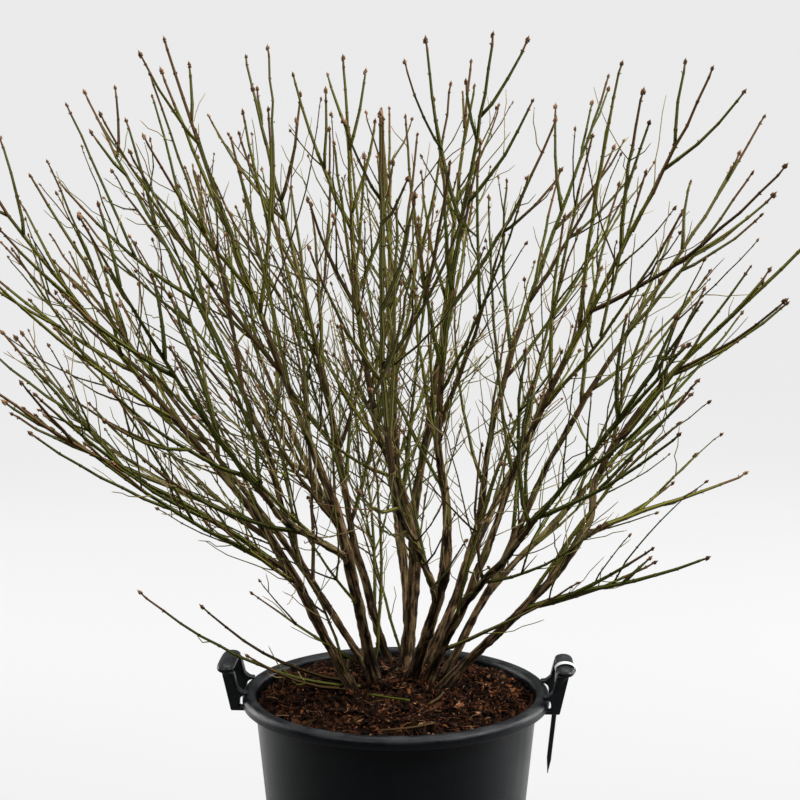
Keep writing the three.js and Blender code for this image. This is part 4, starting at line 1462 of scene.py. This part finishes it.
    def _side_buds(self, surface: Surface, part: Sprays, count: int, size: float, shape: Arrays, rng: Rng) -> None:
        """Adds opposite buds at each node, which point along 0.86 way + 0.51 side from the shoot's skin."""
        shares = (np.arange(count) + 0.6) / count
        seats = bezier(part.control, shares).reshape(-1, 3)
        ways = part.ways(shares).reshape(-1, 3)
        radius = part.radii(shares).reshape(-1, 1)
        around = (rng.uniform(0, np.pi, (len(part), 1)) + np.arange(count) * np.pi / 2).reshape(-1, 1)
        for half in (0, np.pi):
            side = beside(ways, around + half)
            length = size * rng.uniform(1.7, 3.2, len(seats))
            tones = rng.choice([Tone.BUD, Tone.OLD_BARK, Tone.BUD_PINK], len(seats), p=[0.4, 0.45, 0.15])
            surface.add_copies(*shape, seats + side * radius * 0.9,
                               axes_along(unit(ways * 0.86 + side * 0.51), ways, length * 0.6, length), tones)

    @staticmethod
    def _tip_buds(surface: Surface, sprays: Sprays, size: float, rng: Rng) -> None:
        """Adds a large bud at each tip, with smaller ones round it."""
        ends, ways = sprays.control[:, 3], sprays.tip_ways()
        across = square_to(ways)
        length = size * rng.uniform(4.6, 8.4, len(ends))
        tones = rng.choice([Tone.BUD, Tone.BUD_PINK], len(ends), p=[0.7, 0.3])
        surface.add_copies(*ovoid(6, 2), ends - ways * 1.0, axes_along(ways, across, length * 0.66, length), tones)
        for _ in range(4):
            side = beside(ways, rng.uniform(0, 2 * np.pi, (len(ends), 1)))
            point = unit(ways + side * rng.uniform(0.3, 0.8, (len(ends), 1)))
            small = length * rng.uniform(0.5, 0.8, len(ends))
            seats = ends - ways * rng.uniform(1.0, 3.4, (len(ends), 1)) + side * 0.5
            surface.add_copies(*ovoid(4, 2), seats, axes_along(point, across, small * 0.62, small), tones)


# The tub and what lies in it


def lathe(profile: Array, sectors: int) -> Array:
    """Rings, (1, r, sectors, 3), of a profile of (radius, height) rows carried round the Z axis."""
    return lifted(profile[:, None, :1] * round_section(sectors), profile[:, 1:])[None]


def arc(x: float, y: float, radius: float, first: float, last: float, steps: int) -> Array:
    """Points of an arc from one angle to another, in degrees."""
    return np.array([x, y]) + polar(radius, np.radians(np.linspace(first, last, steps + 1)))


def squared(turn: Array) -> Arrays:
    """The two coordinates of a rounded square of half side 1, |x|^4 + |y|^4 = 1."""
    c, s = np.cos(turn), np.sin(turn)
    return np.sign(c) * np.sqrt(np.abs(c)), np.sign(s) * np.sqrt(np.abs(s))


@dataclass
class Tub:
    """The tub's wall, floor and turned-down lip as one smooth turned shell."""

    sizes: TubSizes
    sectors: int = 180
    drain_band: float = 14  # half the width of the ring of floor that has the holes
    finish: Finish = TubFinish("satin_tub_plastic", (0.0008, 0.0017, 0.0026), 0.29, 900.0, 0.6, 0.22, 0.0005)

    def build(self) -> None:
        """Makes the shell in place of its solid."""
        surface = Surface().add_rings(lathe(self._profile(), self.sectors), capped=False)
        self._holes(surface)
        surface.piece("tub_shell", [self.finish], ["tub"], "tub_plastic")

    def _profile(self) -> Array:
        """The section, from the middle of the underside out, up, over the lip and down inside to the floor."""
        s = self.sizes
        foot, rim, inner = s.foot_radius, s.rim_radius, s.top_radius - s.wall
        bend, skin, lip = s.height - s.lip_bend, s.height - s.wall, s.height - s.lip_depth
        ring, within = s.drain_circle + self.drain_band, rim - s.wall
        low = [[ring, 0.0], [foot - 2.5, 0.0], [foot - 0.7, 0.7], [foot, 2.4]]
        body = np.linspace([foot + 0.1, 4.0], [s.top_radius - 0.1, bend - 1], 30)
        under = [
            [s.top_radius + 0.6, skin - 2.4], [s.top_radius + 2.4, skin - 0.5], [rim - s.lip_bend, skin - 0.4],
            [within - 1.4, bend + 1.5], [within, bend - 1.5], [within, lip + 0.5], [within + 0.6, lip],
            [rim - 0.6, lip], [rim, lip + 0.6],
        ]
        outer = arc(rim - s.lip_bend, bend, s.lip_bend, 0, 90, 9)
        fall = arc(inner + s.lip_bend, bend, s.lip_bend, 90, 180, 9)
        inside = np.linspace([inner - 0.05, bend - 3], [foot - s.wall, s.wall + 4], 12)
        floor = [[foot - s.wall - 3, s.wall], [ring, s.wall]]
        return np.concatenate([low, body, under, outer, fall, inside, floor])

    def _holes(self, surface: Surface) -> None:
        """The floor with its round drain holes, and the disc within them.

        The band of floor with the holes is cut into one cell for each. Rings run along a cell's border, anticlockwise
        out, round, back and round inside, then in to the hole's circle, up it, and back out over the floor.
        """
        s = self.sizes
        inner, outer = s.drain_circle - self.drain_band, s.drain_circle + self.drain_band
        half = math.pi / s.drain_holes
        for n in range(s.drain_holes):
            middle = 2 * math.pi * (n + 0.5) / s.drain_holes
            hole = polar(s.drain_circle, middle)
            there, back = (np.linspace(middle - side, middle + side, 25)[:-1] for side in (half, -half))
            border = np.concatenate([polar(outer, there), polar(inner, back)])
            turn = np.arctan2(border[:, 1] - hole[1], border[:, 0] - hole[0])
            circle = hole + polar(s.drain_radius, turn)
            rim = [lifted(edge, z) for edge, z in ((border, 0.0), (circle, 0.0), (circle, s.wall), (border, s.wall))]
            surface.add_rings(np.stack(rim)[None, :, ::-1], capped=False)
        disc = polar(inner, even_turns(self.sectors // 2))
        for height, order in ((0.0, -1), (s.wall, 1)):
            surface.add(lifted(disc, height)[::order], np.arange(len(disc))[None])


@dataclass
class Handle:
    """A lifting handle: two leaning legs whose feet clasp the lip, and an overhanging oval grip."""

    name: str
    sizes: TubSizes
    side: int  # 1 on the right, -1 on the left
    half: float = 38
    turn: float = -2.5
    leg_width: float = 12
    leg_thick: float = 12
    lean: float = 10.5
    foot: float = -18.5
    rise: float = 30
    grip_width: float = 21.5
    grip_height: float = 11
    arch: float = 3
    bevel: float = 1.1
    finish: Finish = TubFinish("handle_plastic", (0.0022, 0.0028, 0.0034), 0.38, 1300.0, 0.4, 0.33, 0.0003)

    @property
    def grip(self) -> Pair:
        """The grip's middle, across and up."""
        return self.sizes.rim_radius + 17.5, self.sizes.height + self.rise

    def placed(self, surface: Surface) -> Surface:
        """A surface made for the X axis, turned round the tub to where this handle stands."""
        turn = math.radians(self.turn)
        spin = self.side * np.array([[math.cos(turn), math.sin(turn)], [-math.sin(turn), math.cos(turn)]])
        for points in surface.places:
            points[:, :2] = points[:, :2] @ spin
        return surface

    def build(self) -> None:
        """Makes the handle in place of its solid."""
        surface = Surface()
        self._bar(surface)
        for y in (-self.half, self.half - self.leg_width):
            self._leg(surface, y)
        self.placed(surface).piece(f"{self.name}_moulding", [self.finish], [self.name], "tub_plastic")

    def _bar(self, surface: Surface) -> None:
        """The grip: ovals along Y whose size is (1 - |v|^9)^(1/2) and whose middle arches up by 1 - v^2."""
        v = np.sin(np.linspace(-np.pi / 2, np.pi / 2, 49)) * 0.9995
        size = np.sqrt(1 - np.abs(v) ** 9)
        turn = even_turns(32)
        x, z = self.grip
        rings = np.stack([
            x + size[:, None] * np.cos(turn) * self.grip_width / 2,
            np.broadcast_to((v * (self.half + 1.1))[:, None], (49, 32)),
            z + self.arch * (1 - v[:, None] ** 2) + size[:, None] * np.sin(turn) * self.grip_height / 2,
        ], axis=-1)
        surface.add_rings(rings[None, :, ::-1])

    def _outline(self) -> Array:
        """A leg's outline across and up, along the lip's outside where it clasps it, with its corners rounded.

        Points at even steps along the outline are each moved to the mean of their neighbours a few times.
        """
        s = self.sizes
        edge = s.rim_radius - 1.5
        out = edge + self.leg_thick
        lip = arc(s.rim_radius - s.lip_bend, -s.lip_bend, s.lip_bend + 0.35, 90, 0, 5)
        corners = np.concatenate([
            [[edge - 6.5, self.foot], [out, self.foot], [out + self.lean, self.rise - 2],
             [edge + self.lean - 2, self.rise - 2], [edge + 3.5, 8], [edge - 2, 3.5], [edge - 8, 3], [edge - 8, 0.4]],
            lip, [[s.rim_radius + 0.35, -s.lip_depth - 0.4], [edge - 6.5, -s.lip_depth - 0.4]],
        ])
        closed = np.concatenate([corners, corners[:1]])
        length = run(closed)
        at = np.linspace(0, length[-1], 181)[:-1]
        line = np.stack([np.interp(at, length, closed[:, k]) for k in (0, 1)], axis=-1)
        for _ in range(3):
            line = (np.roll(line, 1, axis=0) + 2 * line + np.roll(line, -1, axis=0)) / 4
        return line

    def _leg(self, surface: Surface, start: float) -> None:
        """One leg: its outline carried along Y, drawn in by b (1 - sin t) over the last b cos t at each end."""
        line = self._outline()
        way = unit(np.roll(line, -1, axis=0) - np.roll(line, 1, axis=0))
        inward = np.stack([-way[:, 1], way[:, 0]], axis=-1)
        t = np.linspace(0, np.pi / 2, 4)
        drawn, end = self.bevel * (1 - np.sin(t)), self.bevel * (1 - np.cos(t))
        inset, y = np.concatenate([drawn, drawn[::-1]]), np.concatenate([end, self.leg_width - end[::-1]])
        flat = line[None] + inward[None] * inset[:, None, None]
        level = np.broadcast_to((start + y)[:, None], flat.shape[:2])
        rings = np.stack([flat[..., 0], level, self.sizes.height + flat[..., 1]], axis=-1)
        surface.add_rings(rings[None, ::-1])


@dataclass
class LabelStrap:
    """A milky band round the right grip and a thin pointed tail that hangs from it."""

    handle: Handle
    place: float = -19
    width: float = 12
    thick: float = 1
    drop: float = 125
    point: float = 18
    twist: float = 24
    lean: float = 4.6
    band_finish: Finish = Finish("strap_milky_plastic", (0.62, 0.63, 0.6), 0.38, 500.0, 0.15, 0.5)
    # the tail's darker grey-green colour is painted shade
    tail_finish: Finish = Finish("strap_tail_plastic", (0.14, 0.155, 0.12), 0.45, 500.0, 0.2, 0.5)

    def build(self) -> None:
        """Makes the strap in place of its solid."""
        surface = Surface()
        self._band(surface)
        self._tail(surface)
        self.handle.placed(surface).piece("label_strap_band", [self.band_finish, self.tail_finish], ["label_strap"],
                                          "strap_plastic")

    def _centre(self) -> Pair:
        """The middle of the band, across and up."""
        x, z = self.handle.grip
        return x, z + self.handle.arch * (1 - (self.place / self.handle.half) ** 2)

    def _band(self, surface: Surface) -> None:
        """Rounded flat sections carried once round the grip's oval, a little slack."""
        x, z = self._centre()
        turn = even_turns(56)
        deep, tall = self.handle.grip_width / 2 + 0.9, self.handle.grip_height / 2 + 1.4
        across, up = squared(even_turns(16))
        out = self.thick / 2 * (1 + across)
        rings = np.stack([
            x + (deep + out) * np.cos(turn)[:, None],
            self.place + (self.width / 2 - 1) * up + 0.8 * np.sin(turn)[:, None],
            z + (tall + out) * np.sin(turn)[:, None],
        ], axis=-1)
        closed = np.concatenate([rings, rings[:1]])
        surface.add_rings(closed[None, :, ::-1], capped=False)

    def _tail(self, surface: Surface) -> None:
        """A ribbon that hangs down, twisted, narrowing to its point: half width w(v) min(1, (1 - v) / tip)."""
        x, z = self._centre()
        v = np.linspace(0, 1, 60)
        narrow = np.clip((1 - v) * self.drop / self.point, 0.04, 1)
        across, along = squared(even_turns(12))
        half = self.width / 2 * narrow * (1 - 0.12 * v)
        y, deep = half[:, None] * along, self.thick / 2 * across
        spin, tip = math.radians(self.twist), math.radians(self.lean)
        side = deep * math.cos(spin) - y * math.sin(spin)
        face = deep * math.sin(spin) + y * math.cos(spin)
        down = v * self.drop
        start = x - (self.handle.grip_width / 2 + 0.9) * 0.78
        rings = np.stack([
            start + side * math.cos(tip) - (down * math.sin(tip))[:, None] + 0.6 * np.sin(v * 5)[:, None],
            self.place + face,
            np.broadcast_to((z - 4.6 - down * math.cos(tip))[:, None], face.shape),
        ], axis=-1)
        # past its first fifth the tail takes the darker finish, which is painted shade
        surface.add_rings(rings[None, :, ::-1], (v[1:, None] > 0.2).astype(int))


@dataclass
class PottingBark:
    """The potting bark: an uneven bed, chips, crumbs and fibres, and a few fallen twigs."""

    sizes: TubSizes
    plant: PlantSizes
    chips: int = 3400
    crumbs: int = 6500
    fibres: int = 700
    clump: float = 4.5
    bed_finish: Finish = SoilFinish("bark_bed", (0.0045, 0.0022, 0.0014), 0.95, 600.0, 1.0, 0.07, 0.002)
    chip_finishes: tuple[Finish, ...] = (
        Finish("chip_umber", (0.0135, 0.0052, 0.0024), 0.9, 500.0, 0.6, 0.06),
        Finish("chip_red_brown", (0.045, 0.0165, 0.0072), 0.88, 500.0, 0.6, 0.06),
        Finish("chip_orange_brown", (0.145, 0.052, 0.019), 0.85, 500.0, 0.6, 0.06),
        Finish("chip_black_brown", (0.0045, 0.0023, 0.0013), 0.85, 500.0, 0.6, 0.06),
        Finish("chip_tan", (0.24, 0.13, 0.07), 0.85, 500.0, 0.5, 0.1),
    )

    def height(self, x: Array, y: Array) -> Array:
        """The bark's top: a mound as its solid has it, level round the stool, with bumps and clumps further out."""
        s = self.sizes
        away = np.hypot(x - self.plant.stool[0], y - self.plant.stool[1])
        edge = np.hypot(x, y) / s.top_radius
        bumps = np.sin(x * 0.083 + 1.3) * np.cos(y * 0.071) + np.sin(x * 0.031 - y * 0.055 + 2)
        mound = s.soil_mound * (1 - smoothstep(edge, 0.6, 1))
        lumps = plane_noise(x, y, 17, 61) + 0.6 * plane_noise(x, y, 8, 62)
        clumps = self.clump * smoothstep(away, 45, 90) * (lumps - 0.25)
        return s.height - s.soil_drop + mound + smoothstep(away, 75, 105) * (bumps - 1) * s.soil_bump * 0.5 + clumps

    def lying(self, flat: Array, lift: Array) -> Array:
        """Places, (n, 3), lifted a little from the bark and the stool's dome, for (n, 2) ones seen from above."""
        away = np.hypot(*(flat - self.plant.stool).T)
        dome = np.sqrt(np.clip(1 - (away / (self.plant.stool_radius + 6)) ** 2, 0, 1)) * self.plant.stool_height
        return lifted(flat, self.height(*flat.T) + dome + lift)

    def build(self) -> None:
        """Makes the bed in place of its solid, and what lies on it."""
        self._bed().piece("bark_bed", [self.bed_finish], ["potting_bark"], "potting_bark")
        self._chips().piece("bark_chips", self.chip_finishes, [], "potting_bark", smooth=False)
        self._crumbs().piece("bark_crumbs", self.chip_finishes, [], "potting_bark", smooth=False)
        self._fibres().piece("bark_fibres", self.chip_finishes, [], "potting_bark")
        self._fallen().piece("fallen_twigs", YOUNG_WOOD, [], "potting_bark")

    def _side(self, z: float) -> float:
        """The bark's radius against the tub's wall at a height."""
        s = self.sizes
        slope = (s.top_radius - s.foot_radius) / (s.height - s.lip_bend - s.wall - 3)
        return s.foot_radius - s.wall - 0.8 + slope * (z - s.wall - 3)

    def _bed(self) -> Surface:
        """The whole body: a profile carried round, whose top follows height(x, y) with noise."""
        s = self.sizes
        brim = s.height - s.soil_drop
        low = [[self._side(3) - 5, 2.9], [self._side(8), 8.0]]
        wall = [[self._side(z), z] for z in (100, 200, brim - 9)]
        top = np.stack([np.linspace(self._side(brim - 7), 1.0, 90), np.full(90, brim)], axis=-1)
        rings = lathe(np.concatenate([low, wall, top]), 220)[0]
        x, y = rings[5:, :, 0], rings[5:, :, 1]
        rough = sum(size * plane_noise(x, y, pitch, 50 + n)
                    for n, (pitch, size) in enumerate(((22, 1.6), (9, 1.5), (4.5, 1.1))))
        rings[5:, :, 2] = self.height(x, y) + rough - 1.0
        return Surface().add_rings(rings[None])

    def _scatter(self, count: int, edge: float, rng: Rng) -> Array:
        """Random places in the tub's mouth, evenly by area."""
        return polar(edge * np.sqrt(rng.random(count)), rng.uniform(0, 2 * np.pi, count))

    def _axes(self, places: Array, tilt: float, rng: Rng) -> tuple[Array, Array, Array]:
        """Long, sideways and upward axes of pieces that lie on the bark with a random turn and tilt."""
        turn = rng.uniform(0, 2 * np.pi, len(places))
        lift = rng.normal(0, tilt, len(places))
        long = lifted(polar(np.cos(lift), turn), np.sin(lift))
        up = unit(np.cross(long, np.stack([-np.sin(turn), np.cos(turn), rng.normal(0, tilt, len(places))], axis=-1)))
        return long, np.cross(up, long), up

    def _chips(self) -> Surface:
        """Shredded bark chips: flat slivers, with six corners (cos a, sin a) pulled long at each of two heights."""
        surface, rng = Surface(), np.random.default_rng(71)
        turn = np.radians([0, 40, 140, 180, 220, 320])
        oval = polar(1.0, turn) * [1.0, 1.3]
        faces = split(ring_quads(np.arange(12).reshape(2, 6)))
        caps = np.array([[6, 7, 8, 9, 10, 11], [5, 4, 3, 2, 1, 0]])
        n = self.chips
        flat = self._scatter(n, 159, rng)
        length = np.clip(rng.gamma(2.6, 1.9, (n, 1)) + 1.6, 2.5, 19)
        wide = length * rng.uniform(0.2, 0.62, (n, 1))
        deep = rng.uniform(0.6, 1.9, (n, 1))
        axes = self._axes(flat, 0.42, rng)
        places = self.lying(flat, rng.uniform(0.0, 3.4, n))
        shape = np.tile(oval, (n, 2, 1)) * rng.uniform(0.6, 1.25, (n, 12, 1)) + rng.normal(0, 0.08, (n, 12, 2))
        level = np.repeat([-1.0, 1.0], 6) * deep + rng.normal(0, 1.2, (n, 1)) * shape[..., 0] ** 2
        parts = (shape[..., 0] * length / 2 * 1.2, shape[..., 1] * wide / 2, level)
        points = sum((part[..., None] * axis[:, None] for part, axis in zip(parts, axes)), places[:, None])
        tones = rng.choice(5, n, p=[0.44, 0.2, 0.05, 0.29, 0.02])
        start = (np.arange(n) * 12)[:, None, None]
        surface.add(points.reshape(-1, 3), (faces + start).reshape(-1, 3), np.repeat(tones, len(faces)))
        surface.faces.append((caps + start).reshape(-1, 6))
        surface.tones.append(np.repeat(tones, 2))
        return surface

    def _crumbs(self) -> Surface:
        """Small crumbs: uneven eight-faced lumps."""
        rng = np.random.default_rng(72)
        shape = np.array([[1, 0, 0], [0, 1, 0], [-1, 0, 0], [0, -1, 0], [0, 0, 1], [0, 0, -1]], dtype=float)
        faces = np.array([[0, 1, 4], [1, 2, 4], [2, 3, 4], [3, 0, 4], [1, 0, 5], [2, 1, 5], [3, 2, 5], [0, 3, 5]])
        flat = self._scatter(self.crumbs, 161, rng)
        axes = np.stack(self._axes(flat, 0.6, rng), axis=1) * rng.uniform(0.6, 2.1, (len(flat), 3))[..., None]
        places = self.lying(flat, rng.uniform(0.2, 2.6, len(flat)))
        tones = rng.choice(5, len(flat), p=[0.36, 0.28, 0.13, 0.2, 0.03])
        return Surface().add_copies(shape, faces, places, axes, tones)

    def _fibres(self) -> Surface:
        """Thin fibres: bent three-sided threads that lie on the chips."""
        rng = np.random.default_rng(73)
        flat = self._scatter(self.fibres, 156, rng)
        long, side, up = self._axes(flat, 0.3, rng)
        length = rng.uniform(8, 30, (len(flat), 1))
        start = self.lying(flat, rng.uniform(1.2, 4.2, len(flat)))
        bend = rng.normal(0, 0.35, (len(flat), 1)) * side * length
        line = np.stack([start - long * length / 2, start + bend * 0.4 + up * 1.2, start + long * length / 2], axis=1)
        middle = (line[:, :-1] + line[:, 1:]) / 2 + bend[:, None] * 0.12
        points = np.stack([line[:, 0], middle[:, 0], line[:, 1], middle[:, 1], line[:, 2]], axis=1)
        radius = np.broadcast_to(rng.uniform(0.18, 0.5, (len(flat), 1)), (len(flat), 5))
        tones = rng.choice(5, len(flat), p=[0.25, 0.35, 0.2, 0.1, 0.1])
        return Surface().add_rings(tube_rings(points, radius, round_section(3)), tones[:, None, None])

    def _fallen(self) -> Surface:
        """A few fallen twigs on the bark: six-sided, some green and some brown."""
        rng = np.random.default_rng(74)
        turns = np.radians([262, 285, 250, 305, 230, 275, 60, 130, 170])
        away = np.array([62, 98, 112, 82, 130, 138, 110, 96, 120])
        flat = polar(away, turns)
        long, side, _ = self._axes(flat, 0.08, rng)
        half = rng.uniform(16, 34, len(flat))[:, None]
        ends = [lifted(p, self.height(*p.T) + 5.0) for p in (flat - long[:, :2] * half, flat + long[:, :2] * half)]
        bend = rng.normal(0, 3.5, (len(flat), 1)) * side
        t = np.linspace(0, 1, 9)[None, :, None]
        line = ends[0][:, None] * (1 - t) + ends[1][:, None] * t + bend[:, None] * np.sin(np.pi * t)
        radius = np.broadcast_to(rng.uniform(0.9, 1.7, (len(flat), 1)), (len(flat), 9))
        tones = np.array([Tone.DEEP_GREEN] + [Tone.OLD_BARK, Tone.RIDGE] * 4)
        return Surface().add_rings(tube_rings(line, radius, round_section(6)), tones[:, None, None])


# The studio


@dataclass
class Studio:
    """A pale round cove, soft lamps and the camera of the photograph."""

    flat_radius: float = 5.5
    wall_radius: float = 8.5
    wall_height: float = 6.0
    pale: Finish = BackdropFinish("studio_floor", (0.55, 0.55, 0.55), 0.9, 30.0, 0.0)
    lens: float = 74.97
    eye: Triple = (0.0048, -1.9493, 0.9112)
    pitch: float = 7.6
    middle: float = 0.6  # height of the plant's middle, which the lamps face

    def build(self) -> None:
        """Makes the cove, the lamps and the camera."""
        self._cove()
        self._sky()
        self._lamp("overhead", (0.2, 0.9, 3.3), (2.0, 1.8), 105)
        self._lamp("key", (2.5, -1.1, 2.6), (0.7, 0.7), 150)
        self._lamp("fill", (-1.6, -2.0, 2.8), (1.0, 1.0), 50)
        self._lamp("left_strip", (-2.5, 1.7, 0.9), (0.4, 2.0), 60)
        self._lamp("right_strip", (2.5, 1.7, 0.9), (0.4, 2.0), 60)
        self._camera()
        bpy.context.scene.view_settings.view_transform = "Standard"

    def _cove(self) -> None:
        """A floor whose edge curves up into a round wall: a quarter circle between disc and cylinder."""
        bend = self.wall_radius - self.flat_radius
        curve = arc(self.flat_radius, bend, bend, -90, 0, 16)
        profile = np.concatenate([[[0.3, 0.0], [1.5, 0.0], [3.5, 0.0]], curve, [[self.wall_radius, self.wall_height]]])
        rings = lathe(profile, 96)
        mesh = bpy.data.meshes.new("studio_cove")
        index = np.arange(rings.size // 3).reshape(rings.shape[1:3])
        faces = ring_quads(index)[:, ::-1].tolist() + [index[0].tolist()]
        mesh.from_pydata(rings.reshape(-1, 3).tolist(), [], faces)
        mesh.shade_smooth()
        mesh.materials.append(self.pale.material())
        cove = put("studio_cove", mesh)

    @staticmethod
    def _sky() -> None:
        """A plain pale world that lights everything evenly."""
        world = bpy.data.worlds.new("studio_air")
        world.use_nodes = True
        sky = {"Color": (0.96, 0.98, 1.0, 1.0), "Strength": 0.28}
        Nodes(world.node_tree).feed(world.node_tree.nodes["Background"], sky)
        bpy.context.scene.world = world

    def _lamp(self, name: str, place: Triple, size: Pair, power: float) -> None:
        """A soft rectangular lamp that faces the middle of the plant."""
        lamp = bpy.data.lights.new(name, "AREA")
        lamp.shape = "RECTANGLE"
        lamp.size, lamp.size_y = size
        lamp.energy = power
        x, y, z = place
        put(name, lamp, place, (math.atan2(math.hypot(x, y), z - self.middle), 0.0, math.atan2(x, -y)))

    def _camera(self) -> None:
        """The camera at the photograph's place."""
        data = bpy.data.cameras.new("camera")
        data.lens = self.lens
        data.sensor_width = 36.0
        data.sensor_fit = "HORIZONTAL"
        turn = (math.radians(90 - self.pitch), 0.0, 0.0)
        bpy.context.scene.camera = put("camera", data, self.eye, turn)


def main() -> None:
    """Builds the studio and every sub-assembly."""
    logging.basicConfig(level=logging.INFO, format="%(name)s: %(message)s")
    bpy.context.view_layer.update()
    tub, plant = TubSizes(), PlantSizes()
    Studio().build()
    bush = Bush(plant, tub.ground)
    log.info("%d limbs by the solids' rule", len(bush.grown))
    right = Handle("handle_right", tub, 1)
    for part in (Tub(tub), right, Handle("handle_left", tub, -1), LabelStrap(right), PottingBark(tub, plant),
                 BarkedLimbs(bush), Crown(bush)):
        part.build()
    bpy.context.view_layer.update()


if __name__ == "__main__":
    main()
